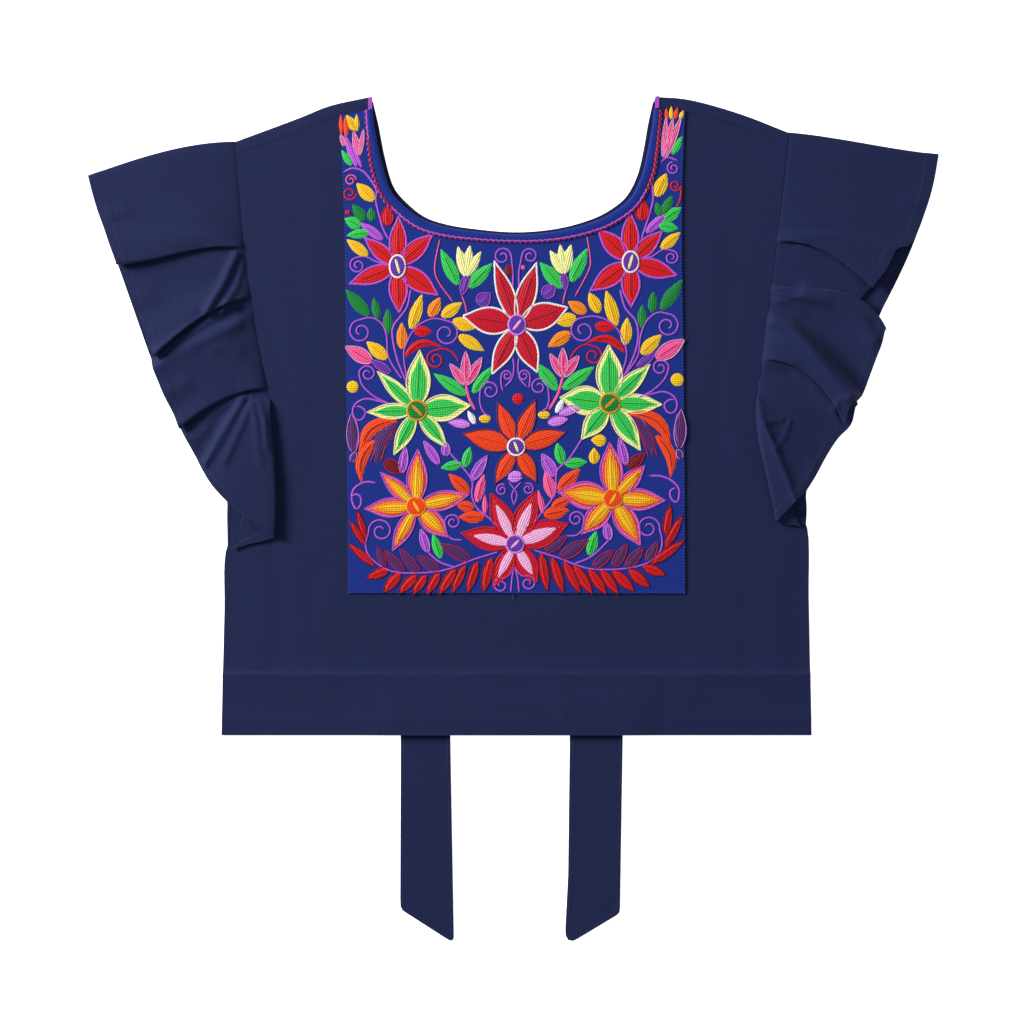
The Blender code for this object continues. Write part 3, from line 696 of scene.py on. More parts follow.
# Sleeves, row by row round the strip, as in the solids. Seam is the way down the armhole.
# A pleat takes two rows, the upper turn and the lower one.
sleeveRows = {
    "sleeveLeft": (
        # seam, seam z, hem x, hem y, hem z, near bow, far bow, and whether a pleat turns here
        (318, 0.5, -236.0, -22.0, 0.5, 0, 0),
        (290, 0.5, -236.5, 4.0, 0.5, 0, 0),
        (262, 0.5, -236.0, 17.0, 0.5, 0, 0),
        (235, 0.5, -252.0, 38.0, 0.5, 0, 0),
        (200, 0.5, -270.0, 72.0, 0.5, 0, 0),
        (160, 0.5, -288.0, 108.0, 0.5, 0, 0),
        (132, 0.5, -298.0, 129.0, 0.5, 0, 0),
        (90, 0.5, -325.0, 206.0, 0.5, 0, 0),
        (45, 0.5, -345.0, 259.0, 0.5, 0, 0),
        (0, 0.5, -350.0, 281.0, 0.5, 4, 2),
        (0, 2.1, -350.0, 281.0, 3.2, 4, 2),
        (42, 2.1, -344.0, 257.5, 3.4, 0, 0),
        (70, 2.1, -336.5, 238.0, 5.0, 1, 0),
        (80, 2.1, -331.5, 223.5, 6.6, 3, 0),
        (88, 2.1, -326.0, 208.3, 7.4, 5, -2, "pleat"),
        (92.8, 2.1, -329.5, 220.0, 2.6, 10, 8, "pleat"),
        (98, 2.1, -322.5, 203.5, 2.8, 4, 0),
        (109, 2.1, -310.0, 169.5, 3.4, 2, 0),
        (119, 2.1, -301.5, 148.0, 6.6, 3, 0),
        (128, 2.1, -294.8, 132.5, 8.0, 5, 3, "pleat"),
        (132.8, 2.1, -298.0, 142.0, 3.0, 8, 10, "pleat"),
        (137, 2.1, -298.0, 130.0, 2.6, 4, 3),
        (140.5, 2.1, -295.8, 121.5, 6.2, 1, 0),
        (150, 2.1, -286.8, 100.0, 5.6, 2, 0),
        (178, 2.1, -278.5, 84.0, 5.4, 3, 2),
        (204, 2.1, -274.6, 74.0, 6.6, 5, 3, "pleat"),
        (208.8, 2.1, -275.2, 77.0, 2.2, 11, 8, "pleat"),
        (211, 2.4, -267.0, 60.5, 3.6, 10, 6),
        (213, 3.0, -258.5, 45.0, 2.8, 12, 6),
        (215, 3.8, -250.0, 29.5, 6.0, 9, 4),
        (217.5, 4.6, -235.0, 13.2, 7.0, 1, 0),
        (228, 5.0, -197.3, -14.8, 6.8, -1, -2),
        (234, 3.8, -197.3, -14.8, 4.0, -2, -2),
        (244, 3.8, -207.0, -18.3, 4.0, -2, 0),
        (258, 3.8, -218.0, -20.2, 3.9, 0, 0),
        (318, 3.8, -231.5, -25.0, 3.9, 0, 0),
    ),
    "sleeveRight": (
        (312, 0.5, 238.0, -5.5, 0.5, 0, 0),
        (285, 0.5, 239.0, 9.0, 0.5, 0, 0),
        (260, 0.5, 237.5, 23.0, 0.5, 0, 0),
        (235, 0.5, 252.0, 48.0, 0.5, 0, 0),
        (200, 0.5, 267.0, 77.0, 0.5, 0, 0),
        (165, 0.5, 284.0, 114.0, 0.5, 0, 0),
        (130, 0.5, 296.0, 163.0, 0.5, 0, 0),
        (92, 0.5, 313.0, 196.0, 0.5, 0, 0),
        (72, 0.5, 324.5, 221.0, 0.5, 0, 0),
        (38, 0.5, 340.5, 265.0, 0.5, 0, 0),
        (0, 0.5, 346.4, 298.5, 0.5, 1, -1),
        (0, 2.1, 346.4, 298.5, 3.2, 1, -1),
        (38, 2.1, 341.6, 270.0, 3.4, 0, 0),
        (68, 2.1, 330.5, 238.0, 4.2, 0, 0),
        (79, 2.1, 323.6, 223.5, 4.8, 2, 1),
        (83, 2.1, 311.0, 222.0, 5.8, 3, 2),
        (86, 2.1, 304.0, 205.0, 6.6, 5, 3),
        (90, 2.1, 292.0, 189.5, 7.2, 7, 4, "pleat"),
        (94.8, 2.1, 289.0, 186.8, 2.6, 14, 12, "pleat"),
        (99, 2.1, 283.0, 182.0, 2.8, 5, 2),
        (112, 2.1, 278.0, 172.0, 2.8, 1, 0),
        (124, 2.1, 286.0, 149.0, 2.7, 1, 2, "pleat"),
        (127, 2.1, 302.2, 155.6, 7.6, 3, 14, "pleat"),
        (132, 2.1, 298.6, 141.5, 6.7, 3, 10),
        (136, 2.1, 293.0, 126.0, 4.6, 10, 6),
        (141, 2.1, 287.0, 108.5, 2.8, 8, 3),
        (147, 2.1, 283.0, 100.5, 5.0, 6, 5),
        (153, 2.1, 280.0, 98.0, 8.4, 5, 5),
        (168, 2.1, 272.0, 92.0, 9.4, 3, 4),
        (187, 2.1, 268.0, 79.0, 8.4, 9, 6, "pleat"),
        (191.8, 2.1, 283.0, 91.0, 2.6, 14, 12, "pleat"),
        (195, 2.1, 275.5, 76.5, 2.8, 8, 4),
        (202, 2.2, 264.5, 67.5, 3.6, 4, 0),
        (207, 2.6, 254.6, 52.5, 4.6, 2, 0),
        (211, 3.2, 244.4, 33.6, 5.6, 1, 0),
        (214.5, 4.0, 235.8, 20.6, 6.6, 0, 0),
        (217.5, 4.8, 228.4, 14.6, 8.2, -2, -1),
        (225, 5.1, 213.2, -1.8, 7.0, -1.5, 0),
        (230, 3.8, 213.2, -1.8, 4.0, -2, 0),
        (240, 3.8, 222.0, -4.6, 4.0, -2, -1),
        (262, 3.8, 231.0, -5.4, 3.9, -2, -0.5),
        (318, 3.8, 233.5, -7.0, 3.9, 0, 0),
    ),
}
sleeve = {
    "shell": 0.75,
    "hemShell": 1.15,  # where the edge is turned under
    "hemStart": 0.925,  # where the turned edge starts on the way from the seam
    "lines": 44,
    "relief": 1.45,  # how much higher the front layers stand than in the solids
    "opening": 6,  # how fast the layers part below the seam
    "tuck": 0.35,  # how far the seam's edge is pushed under the edge of the armhole
    "tuckFade": 0.12,
    "sink": 0.6,  # how much lower it lies there
    "sinkFade": 0.02,
    "creaseFade": 0.04,
    "softness": 14.0,  # how far from a corner its curve starts
    "turnSamples": (0.1, 0.3, 0.5, 0.7, 0.9),
    "straightSamples": 4,
    "pleatRadius": 1.0,
    "turnLength": 2.0,
    "pleatDepth": 1.5,
    "pleatSteps": 6,
    "closing": 0.3,  # where a pleat is fully closed
    "swell": 0.9,  # how much rounder its turns get towards the edge
}
fullBow = 6.75  # makes a row's bow as high as the table says
turnedEdge = (sleeve["hemStart"], 0.94, 0.955, 0.97, 0.985, 1)


def armhole(side):
    column = 0 if side < 0 else 2
    rows = [row[column : column + 2] for row in reversed(bodySections[underarmRow:])]
    return curveThrough([shoulderTips[0 if side < 0 else 1], *rows], 4)


def pleat(share, upper, lower, outward, falling):
    # The turns of a pleat: round the fold, back under it and round again, opening towards the seam
    angle = max(0.01, math.pi * min(1, share / sleeve["closing"]) ** 0.7)
    swell = 1 + sleeve["swell"] * float(ramp(share, sleeve["closing"], 1))
    radius = max(sleeve["pleatRadius"] * swell, sleeve["turnLength"] / angle)
    depth = sleeve["pleatDepth"]
    if angle > 0.99 * math.pi:
        back = abs(float(np.dot((upper - lower)[:2], outward)))
        depth = max(depth, back - 2 * radius)
    turns = []
    for k in range(sleeve["pleatSteps"] + 1):
        a = angle * k / sleeve["pleatSteps"]
        turns.append((radius * math.sin(a), radius * (math.cos(a) - 1)))
    far, deep = turns[-1][0] + depth * math.cos(angle), turns[-1][1] - depth * math.sin(angle)
    for k in range(sleeve["pleatSteps"] + 1):
        a = angle * (1 - k / sleeve["pleatSteps"])
        on = radius * (math.sin(angle) - math.sin(a))
        down = radius * (math.cos(a) - math.cos(angle))
        turns.append((far + on, deep - down))
    reach = radius * math.sin(min(angle, math.pi / 2))
    length, height = turns[-1]
    found = []
    for alongStrip, up in turns:
        if falling:
            x, y = upper[:2] + (alongStrip - reach) * outward
            z = lower[2] - height + up
        else:
            x, y = upper[:2] + (alongStrip - length + reach) * outward
            z = lower[2] - up
        found.append(np.array([x, y, z]))
    return found


def rounded(corners, pleated, share, outward, falling):
    # One line along the strip: its pleats turn sharply, everything between them in soft curves
    path, inPleat = [], []
    row = 0
    while row < len(corners):
        turns = [corners[row]]
        if pleated[row]:
            upper, lower = (row, row + 1) if falling[row] else (row + 1, row)
            turns = pleat(share, corners[upper], corners[lower], outward[upper], falling[row])
        path += turns
        inPleat += [pleated[row]] * len(turns)
        row += 1 + pleated[row]
    found, sharp, beforeStraight = [path[0]], [False], [True]
    for before, corner, after, kept in zip(path, path[1:], path[2:], inPleat[1:-1]):
        if kept:
            found.append(corner)
            sharp.append(True)
            beforeStraight.append(True)
            continue
        back, on = before - corner, after - corner
        leg = min(sleeve["softness"], np.linalg.norm(back) / 2, np.linalg.norm(on) / 2)
        a = corner + back / np.linalg.norm(back) * leg
        b = corner + on / np.linalg.norm(on) * leg
        for t in sleeve["turnSamples"]:
            found.append((1 - t) ** 2 * a + 2 * t * (1 - t) * corner + t**2 * b)
            sharp.append(False)
            beforeStraight.append(t == sleeve["turnSamples"][-1])
    found.append(path[-1])
    sharp.append(False)
    filled = [found[0]]
    steps = sleeve["straightSamples"]
    for number, (a, b) in enumerate(zip(found, found[1:])):
        if beforeStraight[number] and not (sharp[number] and sharp[number + 1]):
            filled += [a + (b - a) * k / steps for k in range(1, steps)]
        filled.append(b)
    return np.array(filled)


def sleeveShares():
    # Lines along the strip from the seam to the edge, closer together at the seam and in the turned edge
    last = 0.9
    upper = np.linspace(0, 1, sleeve["lines"] - len(turnedEdge))[:-1] ** 1.15 * last
    return np.concatenate([upper, (last, *turnedEdge)])


def sleeveCorners(rows, side, edge, share):
    # Where each row of the table is at this share of its way, and which way its pleat points
    rise = 1 - (1 - share) ** sleeve["opening"]
    nearBow = fullBow * share * (1 - share) ** 2
    farBow = fullBow * share**2 * (1 - share)
    blend = min(1, share / sleeve["closing"])
    corners, outward = [], []
    for seam, seamZ, hemX, stripHemY, hemZ, near, far, *_ in rows:
        start = atDistance(edge, seam)
        downSeam = atDistance(edge, seam + 3) - atDistance(edge, seam - 3)
        way = np.array([hemX, stripHemY]) - start
        aside = side * np.array([-way[1], way[0]]) / np.linalg.norm(way)
        x, y = start + share * way + (near * nearBow + far * farBow) * aside
        z = seamZ + (hemZ - seamZ) * rise
        corners.append(np.array([x, y, z + (sleeve["relief"] - 1) * max(0, z - frontMiddle)]))
        direction = (1 - blend) * downSeam / np.linalg.norm(downSeam) - blend * aside
        outward.append(direction / np.linalg.norm(direction))
    return corners, outward


def makeSleeve(name):
    rows = sleeveRows[name]
    side = -1 if name == "sleeveLeft" else 1
    edge = armhole(side)
    pleated = [row[-1] == "pleat" for row in rows]
    falling = [row[4] > following[4] for row, following in zip(rows, rows[1:])]
    shares = sleeveShares()
    fineEdge = evenly(edge, 1600) - [side * sleeve["tuck"], 0]
    lines = []
    for share in shares:
        corners, outward = sleeveCorners(rows, side, edge, share)
        line = rounded(corners, pleated, share, outward, falling)
        if not lines:
            nearest = [np.argmin(np.hypot(*(fineEdge - point[:2]).T)) for point in line]
            toEdge = fineEdge[nearest] - line[:, :2]
        line[:, :2] += toEdge * (1 - ramp(share, 0, sleeve["tuckFade"]))
        upper = line[:, 2] > 1
        line[:, 2] -= sleeve["sink"] * (1 - ramp(share, 0, sleeve["sinkFade"])) * upper
        lift = creaseHeight(line[:, 0], line[:, 1], sleeveCreases)
        line[:, 2] += lift * ramp(line[:, 2], wall, frontMiddle) * ramp(share, 0, sleeve["creaseFade"])
        lines.append(line)

    def place(column, row):
        return lines[row][column]

    piece = clothGrid(name, len(lines[0]) - 1, len(lines) - 1, place)
    area = surfaceArea(piece)
    hemLength = travelled(lines[-1])[-1]
    width = max(np.linalg.norm(lines[-1] - lines[0], axis=1))
    weights = np.array([float(share >= sleeve["hemStart"]) for share in shares for _ in lines[0]])
    makeShell(piece, sleeve["hemShell"], 0, weights, sleeve["shell"] / sleeve["hemShell"])
    return piece, area, (hemLength, width), lines


def makeTie(name):
    left, right = tieEdges[name]
    outline = [(left, tieTop), *tieOutlines[name], (right, tieTop)]
    points = [(x * mm, y * mm, tie["level"] * mm) for x, y in outline]
    bpy.ops.object.select_all(action="DESELECT")
    mesh = bpy.data.meshes.new(name)
    mesh.from_pydata(points, [], [list(range(len(points)))])
    piece = bpy.data.objects.new(name, mesh)
    bpy.context.collection.objects.link(piece)
    area = surfaceArea(piece)
    if mesh.polygons[0].normal.z < 0:
        mesh.flip_normals()
    makeShell(piece, tie["shell"], 1)
    select(piece)
    bpy.ops.object.modifier_add(type="BEVEL")
    piece.modifiers["Bevel"].width = tie["rounding"] * mm
    piece.modifiers["Bevel"].segments = 2
    bpy.ops.object.modifier_apply(modifier="Bevel")
    return piece, area


# Thread work: strips of stitching laid on the cloth, gathered into one mesh for each colour
threadWork = {}


def bibTop(x, y):
    return bibLevel + bib["shell"] + creaseHeight(x, y)


def addStrip(colour, path, widths, height, level=0.0, base=None, across=(-1, -0.55, 0, 0.55, 1)):
    p = np.array(path, float)
    direction = np.gradient(p[:, :2], axis=0)
    direction /= np.maximum(1e-9, np.linalg.norm(direction, axis=1))[:, None]
    side = np.stack([-direction[:, 1], direction[:, 0]], axis=1)
    widths = np.broadcast_to(widths, len(p))
    far = travelled(p[:, :2])
    work = threadWork.setdefault(colour, {"points": [], "faces": [], "spots": []})
    first = len(work["points"])
    count = len(across)
    fullest = max(widths)
    if base is None:
        floors = bibTop(p[:, 0], p[:, 1])
    else:
        floors = p[:, 2] if base == "path" else np.full(len(p), base)
    for k in range(len(p)):
        floor = floors[k]
        for v in across:
            x, y = p[k, :2] + side[k] * v * widths[k] / 2
            up = height * math.sqrt(max(0, 1 - v * v)) * min(1, widths[k] / (0.5 * fullest))
            work["points"].append((x * mm, y * mm, (floor + level + up) * mm))
            work["spots"].append((far[k] * mm, v * widths[k] / 2 * mm))
    for k in range(len(p) - 1):
        for v in range(count):
            on = (v + 1) % count
            a, b = first + k * count + v, first + k * count + on
            work["faces"].append((a, a + count, b + count, b))
    work["faces"].append(tuple(range(first, first + count)))
    work["faces"].append(tuple(reversed(range(first + (len(p) - 1) * count, first + len(p) * count))))


threadSection = (-1, -0.5, 0.5, 1)
curl = {"turns": 1.45, "samples": 19, "closing": 0.76, "width": 1.3, "height": 0.55}
fullness = {"petal": 1.2, "leaf": 1.1, "garland": 0.82}  # a fill's width next to the width in its row


def addThread(colour, path, width=1.5, height=0.55, level=0.05, spacing=2.5, base=None):
    p = np.array(path, float)
    count = max(2, int(travelled(p)[-1] / spacing) + 1)
    p = evenly(p, count)
    widths = np.full(count, width)
    widths[0] = widths[-1] = width * 0.5
    addStrip(colour, p, widths, height, level, base, threadSection)


def leafShape(base, tip, width, pinch, steps=10, bend=0.0):
    # Widest a little past the middle, and drawn in towards the tip by the pinch
    base, tip = np.array(base, float), np.array(tip, float)
    t = np.linspace(0.0, 1.0, steps)
    way = tip - base
    side = np.array([-way[1], way[0]])
    path = base + t[:, None] * way + (bend * np.sin(math.pi * t))[:, None] * side
    widths = width * np.sin(math.pi * (0.04 + 0.94 * t) ** 0.87) ** 0.75 * (1 - pinch * t**5)
    return path, widths


def addOutline(colour, path, widths, thread, level=0.08):
    direction = np.gradient(path, axis=0)
    direction /= np.linalg.norm(direction, axis=1)[:, None]
    side = np.stack([-direction[:, 1], direction[:, 0]], axis=1)
    left = path + side * widths[:, None] / 2
    right = path - side * widths[:, None] / 2
    tip = path[-1] + direction[-1] * thread * 0.5
    loop = np.vstack([left, tip, right[::-1]])
    addThread(colour, curveThrough(loop, 2), thread, 0.6, level, 2.2)


def addLeaf(
    fill, base, tip, width, outline=None, thread=1.2, pinch=0.35, rib=None, inner=(), height=0.55, bend=0.0
):
    base, tip = onTable(base)[0], onTable(tip)[0]
    width = width * planStep
    path, widths = leafShape(base, tip, width, pinch, bend=bend)
    addStrip(fill, path, widths, height)
    level = height * 0.8
    for colour, share in inner:
        end = tip - (tip - base) * 0.35 * (1 - share)
        innerPath, innerWidths = leafShape(base, end, width * share, pinch, 8, bend)
        addStrip(colour, innerPath, innerWidths, 0.25, level)
        level += 0.14
    if rib:
        addThread(rib, evenly(path, 9)[1:-2], 0.9, 0.3, level)
    if outline:
        addOutline(outline, path, widths, thread)


def addDisc(colour, centre, across, down, height, level=0.0):
    a = np.linspace(0.15, math.pi - 0.15, 15)
    x, y = onTable(centre)[0]
    path = np.stack([x - across * planStep * np.cos(a), np.full(len(a), y)], axis=1)
    addStrip(colour, path, 2 * down * planStep * np.sin(a), height, level)


def addRing(colour, centre, across, down, width, level):
    a = np.linspace(0, 2 * math.pi, 25)
    x, y = onTable(centre)[0]
    path = np.stack([x + across * planStep * np.cos(a), y + down * planStep * np.sin(a)], axis=1)
    addThread(colour, path, width, 0.6, level, 1.8)


def addSpiral(colour, x, y, radius, start, hand, *tail):
    x, y = onTable((x, y))[0]
    a = np.linspace(0, curl["turns"] * 2 * math.pi, curl["samples"])
    size = radius * planStep * (1 - curl["closing"] * (a / a[-1]) ** 1.1)
    angle = math.radians(start) + hand * a
    path = np.stack([x + size * np.cos(angle), y + size * np.sin(angle)], axis=1)
    if tail:
        path = np.vstack([onTable(tail), path])
    addThread(colour, curveThrough(path, 3), curl["width"], curl["height"], 0.06, 1.8)


def addDashes(colour, path, base, width, length, gap, height):
    p = np.array(path, float)
    far = travelled(p)
    dims = p.shape[1]
    start = gap / 2
    while start + length < far[-1]:
        at = start + np.array([0, 0.5, 1]) * length
        dash = np.stack([np.interp(at, far, p[:, k]) for k in range(dims)], axis=1)
        addStrip(colour, dash, (width * 0.6, width, width * 0.6), height, 0, base, threadSection)
        start += length + gap


# Petals: fill, narrower layers on it with their share of its width, outline, its width, rib
petalKinds = {
    "red": ("red", (), "violet", 1.6, "darkRed"),
    "crimson": ("crimson", (), "white", 1.6, "darkRed"),
    "green": ("cream", (("green", 0.68),), "cream", 1.1, "darkGreen"),
    "yellow": ("pink", (("crimson", 0.76), ("orange", 0.68), ("yellow", 0.4)), "violet", 1.1, "orange"),
    "vermilion": ("vermilion", (), "plum", 1.3, "red"),
    "pink": ("crimson", (("lightPink", 0.5),), "crimson", 1.3, None),
}
# Flowers: petals, centre x, y, half width, half height, ring and disc, colour and ends of the slash,
# then the tips of the petals: x, y, width
flowers = (
    (
        "red", (397.8, 266.9, 8.6, 12.4), ("white", "purple"), ("cream", -2, -7, 2, 7),
        (
            (399, 217.4, 14), (432.6, 235, 14), (437.9, 295.2, 16), (399.6, 312.9, 15),
            (350.6, 284, 14), (365.4, 238.6, 12),
        ),
    ),
    (
        "red", (630.4, 262.4, 8.8, 11.6), ("white", "purple"), ("cream", 2, -7, -2, 7),
        (
            (630, 213, 14), (598, 230, 15), (662, 232, 13), (676.7, 275.7, 15),
            (631.2, 307, 15), (590.5, 291, 16),
        ),
    ),
    (
        "crimson", (517, 325.3, 9.4, 11), ("lilac", "purple"), ("lightPink", -4, 5, 4, -5),
        (
            (494.6, 262.2, 14), (463.3, 316.5, 22), (492.2, 374.3, 15), (536.3, 264, 16),
            (567.5, 308, 22), (537.4, 372.4, 17),
        ),
    ),
    (
        "green", (417.2, 410.6, 10.7, 10.7), ("orange", "darkGreen"), ("orange", -5, -5, 5, 5),
        (
            (420, 351, 20), (378, 372, 12), (368, 412.4, 13), (394.2, 455, 13),
            (447, 447.4, 13), (470.3, 405.6, 22),
        ),
    ),
    (
        "green", (609.8, 403.5, 10.7, 10.7), ("orange", "darkGreen"), ("orange", 5, -5, -5, 5),
        (
            (608.6, 345.3, 22), (650, 364.5, 14), (661.9, 404.7, 16), (640.2, 450.4, 17),
            (581.6, 439.5, 17), (560.5, 397.8, 24),
        ),
    ),
    (
        "yellow", (416.4, 506.6, 10.3, 10.3), ("orange", "vermilion"), ("yellow", -3, -5, 3, 5),
        (
            (418.2, 449.4, 17), (381, 472.8, 13), (365.4, 508.8, 16), (392.8, 551, 13),
            (448.3, 537, 17), (468.9, 494.7, 16),
        ),
    ),
    (
        "yellow", (612.8, 498.9, 10.3, 10.3), ("orange", "vermilion"), ("yellow", 3, -5, -3, 5),
        (
            (609.6, 442.7, 19), (644.7, 465.7, 14), (665, 500.5, 18), (640.2, 545.4, 19),
            (581.6, 533.9, 18), (558, 491.8, 23),
        ),
    ),
    (
        "vermilion", (516.2, 447, 9.3, 9.3), ("white", "purple"), ("cream", -2, -5, 2, 5),
        (
            (497.7, 402, 14), (462.7, 433.7, 18), (495, 483.7, 13), (535.6, 400, 14),
            (566.2, 432, 16), (536.3, 482.3, 14),
        ),
    ),
    (
        "pink", (515, 544, 9.6, 9.6), ("lilac", "purple"), ("lightPink", -4, 4, 4, -4),
        (
            (490.9, 493.3, 18), (462, 533, 19), (493.6, 586.6, 15), (535.6, 491.8, 19),
            (567.5, 523.7, 22), (537, 582.4, 18),
        ),
    ),
)


def addFlower(kind, middle, rings, slash, tips):
    x, y, across, down = middle
    fill, inner, outline, thread, rib = petalKinds[kind]
    for tipX, tipY, width in tips:
        way = np.array([tipX - x, tipY - y])
        base = np.array([x, y]) + way / np.linalg.norm(way) * 0.55 * min(across, down)
        addLeaf(fill, base, (tipX, tipY), width * fullness["petal"], outline, thread, 0.75, rib, inner, 0.6)
    addDisc(rings[1], (x, y), across * 0.95, down * 0.95, 0.5, 0.75)
    addRing(rings[0], (x, y), across * 0.9, down * 0.9, 1.6, 0.75)
    colour, x0, y0, x1, y1 = slash
    addThread(colour, onTable([(x + x0, y + y0), (x + x1, y + y1)]), 2.3, 0.35, 1.15)


# Bent leaves: fill, bow to the left as a share of the length, base x, base y, tip x, tip y, width
bentLeaves = (
    ("plum", -0.1, 396, 423, 376, 464, 17),
    ("plum", 0.1, 632, 416, 653, 458, 17),
    ("vermilion", -0.22, 397, 421, 360, 455, 14),
    ("vermilion", -0.16, 375, 441, 362, 483, 12),
    ("vermilion", 0.22, 630, 414, 670, 448, 14),
    ("vermilion", 0.16, 656, 436, 670, 478, 12),
    ("red", 0.22, 405, 357, 442, 347, 8),
    ("red", -0.22, 624, 352, 586, 343, 8),
)

# Leaves and small petals by fill and outline: base x, base y, tip x, tip y, width
leafSets = {
    ("cream", None): (
        (466, 277, 458, 247, 10), (466, 277, 470, 246, 10), (466, 277, 481, 252, 9),
        (564, 274, 550, 251, 10), (564, 274, 560, 245, 9), (564, 274, 571, 245, 10),
    ),
    ("green", None): (
        (458, 285, 441, 250, 12), (469, 288, 492, 264, 12), (562, 288, 540, 263, 13),
        (571, 282, 587, 249, 12), (466, 395, 434, 374, 11), (473, 393, 492, 367, 10),
        (557, 390, 536, 363, 12), (563, 389, 594, 367, 12), (465, 467, 470, 447, 9),
        (462, 464, 441, 468, 9), (562, 464, 557, 443, 10), (565, 464, 587, 462, 10),
        (441, 558, 433, 534, 9), (589, 555, 596, 531, 10), (352, 166, 342, 151, 7),
        (672, 155, 682, 137, 7), (361, 227, 345, 219, 11), (370, 233, 347, 236, 9),
        (663, 221, 681, 208, 11), (659, 226, 678, 229, 10),
    ),
    ("purple", "violet"): (
        (467, 276, 462, 296, 8), (563, 274, 566, 291, 7), (391, 373, 371, 360, 7),
        (637, 368, 656, 352, 7), (478, 305, 490, 294, 13), (543, 297, 555, 286, 12),
    ),
    ("darkRed", "crimson"): ((509, 276, 508, 265, 6), (385, 461, 402, 473, 11), (628, 468, 644, 454, 10)),
    ("darkGreen", None): (
        (369, 316, 346, 290, 12), (378, 319, 374, 298, 8), (388, 334, 388, 309, 9),
        (642, 328, 642, 305, 9), (652, 313, 653, 292, 9), (661, 310, 682, 280, 12),
        (365, 221, 353, 205, 10), (372, 222, 371, 208, 8), (661, 217, 656, 203, 8),
        (663, 215, 672, 196, 9),
    ),
    ("yellow", None): (
        (411, 329, 422, 295, 11), (442, 317, 462, 303, 11), (453, 321, 475, 329, 12),
        (459, 336, 484, 351, 11), (599, 313, 589, 293, 11), (616, 326, 606, 291, 12),
        (576, 318, 556, 323, 13), (625, 345, 627, 318, 11), (641, 354, 661, 335, 12),
        (368, 256, 347, 240, 10), (387, 359, 367, 342, 12), (661, 249, 680, 233, 10),
        (606, 441, 591, 440, 11), (594, 464, 594, 448, 10), (356, 131, 347, 116, 9),
        (357, 132, 357, 115, 5), (671, 120, 671, 107, 4), (680, 120, 683, 111, 4),
        (374, 201, 357, 184, 12), (656, 197, 666, 174, 12),
    ),
    ("orange", None): (
        (430, 317, 440, 298, 11), (402, 349, 402, 323, 10), (586, 313, 568, 302, 11),
        (570, 333, 548, 347, 12),
    ),
    ("red", None): ((414, 331, 432, 332, 10), (595, 326, 615, 328, 10)),
    ("pink", "lightPink"): (
        (372, 362, 346, 347, 13), (656, 359, 684, 340, 14), (466, 385, 450, 364, 8),
        (466, 385, 466, 352, 9), (466, 385, 482, 358, 9), (563, 377, 550, 354, 8),
        (563, 377, 563, 348, 9), (563, 377, 579, 356, 9), (359, 156, 354, 132, 6),
        (360, 156, 364, 130, 4), (345, 147, 341, 135, 4), (663, 158, 666, 118, 5),
        (664, 158, 673, 119, 6), (665, 158, 681, 118, 6),
    ),
    ("white", None): ((475, 424, 468, 411, 6), (556, 413, 564, 398, 6)),
    ("lilac", "violet"): (
        (470, 425, 448, 422, 8), (559, 414, 581, 407, 8), (548, 423, 568, 419, 9),
        (508, 478, 522, 478, 8),
    ),
    ("plum", "lilac"): (
        (354, 452, 352, 414, 11), (679, 448, 681, 410, 11), (352, 462, 356, 452, 6),
        (681, 459, 677, 449, 6),
    ),
    ("violet", "lilac"): (
        (402, 473, 406, 447, 8), (439, 464, 424, 441, 8), (626, 465, 619, 438, 8),
        (446, 456, 446, 442, 8), (472, 480, 487, 456, 9), (555, 476, 542, 454, 11),
        (428, 552, 421, 529, 8), (609, 540, 606, 522, 8),
    ),
    ("pink", None): (
        (477, 502, 484, 474, 9), (485, 514, 485, 495, 5), (553, 498, 545, 471, 11),
        (543, 513, 538, 490, 6),
    ),
    ("vermilion", None): (
        (469, 493, 449, 474, 11), (474, 508, 456, 504, 10), (484, 517, 459, 517, 11),
        (558, 490, 580, 469, 12), (552, 507, 573, 497, 10), (544, 515, 569, 510, 12),
        (342, 135, 341, 115, 4), (347, 137, 346, 116, 5), (667, 121, 666, 109, 4),
        (675, 120, 677, 108, 4),
    ),
    ("red", "darkRed"): (
        (389, 569, 367, 578, 12), (400, 573, 384, 592, 13), (416, 575, 399, 593, 12),
        (426, 575, 413, 594, 11), (439, 573, 427, 594, 11), (455, 569, 439, 594, 12),
        (465, 565, 452, 593, 10), (477, 562, 467, 593, 11), (491, 558, 483, 592, 13),
        (366, 538, 357, 510, 8), (365, 544, 350, 521, 8), (374, 565, 348, 543, 9),
        (643, 566, 665, 575, 12), (629, 570, 649, 587, 13), (613, 571, 634, 591, 13),
        (601, 570, 618, 594, 12), (589, 570, 606, 594, 12), (574, 566, 592, 594, 13),
        (564, 562, 580, 593, 12), (552, 558, 563, 593, 12), (541, 554, 547, 591, 12),
        (665, 534, 670, 505, 10), (665, 547, 682, 515, 10), (652, 563, 684, 540, 11),
    ),
    ("plum", "crimson"): (
        (385, 567, 378, 547, 6), (404, 572, 385, 551, 8), (419, 573, 400, 549, 8),
        (439, 571, 418, 556, 9), (470, 560, 441, 544, 10), (545, 552, 567, 536, 9),
        (560, 558, 588, 540, 11), (593, 568, 613, 550, 9), (613, 567, 627, 544, 9),
        (626, 568, 643, 547, 9), (647, 562, 657, 542, 8),
    ),
    ("violet", None): (
        (357, 167, 345, 135, 7), (362, 168, 352, 145, 4), (383, 240, 360, 223, 9),
        (646, 233, 668, 213, 9),
    ),
    ("red", "crimson"): ((388, 226, 387, 207, 11), (641, 221, 643, 200, 12)),
}

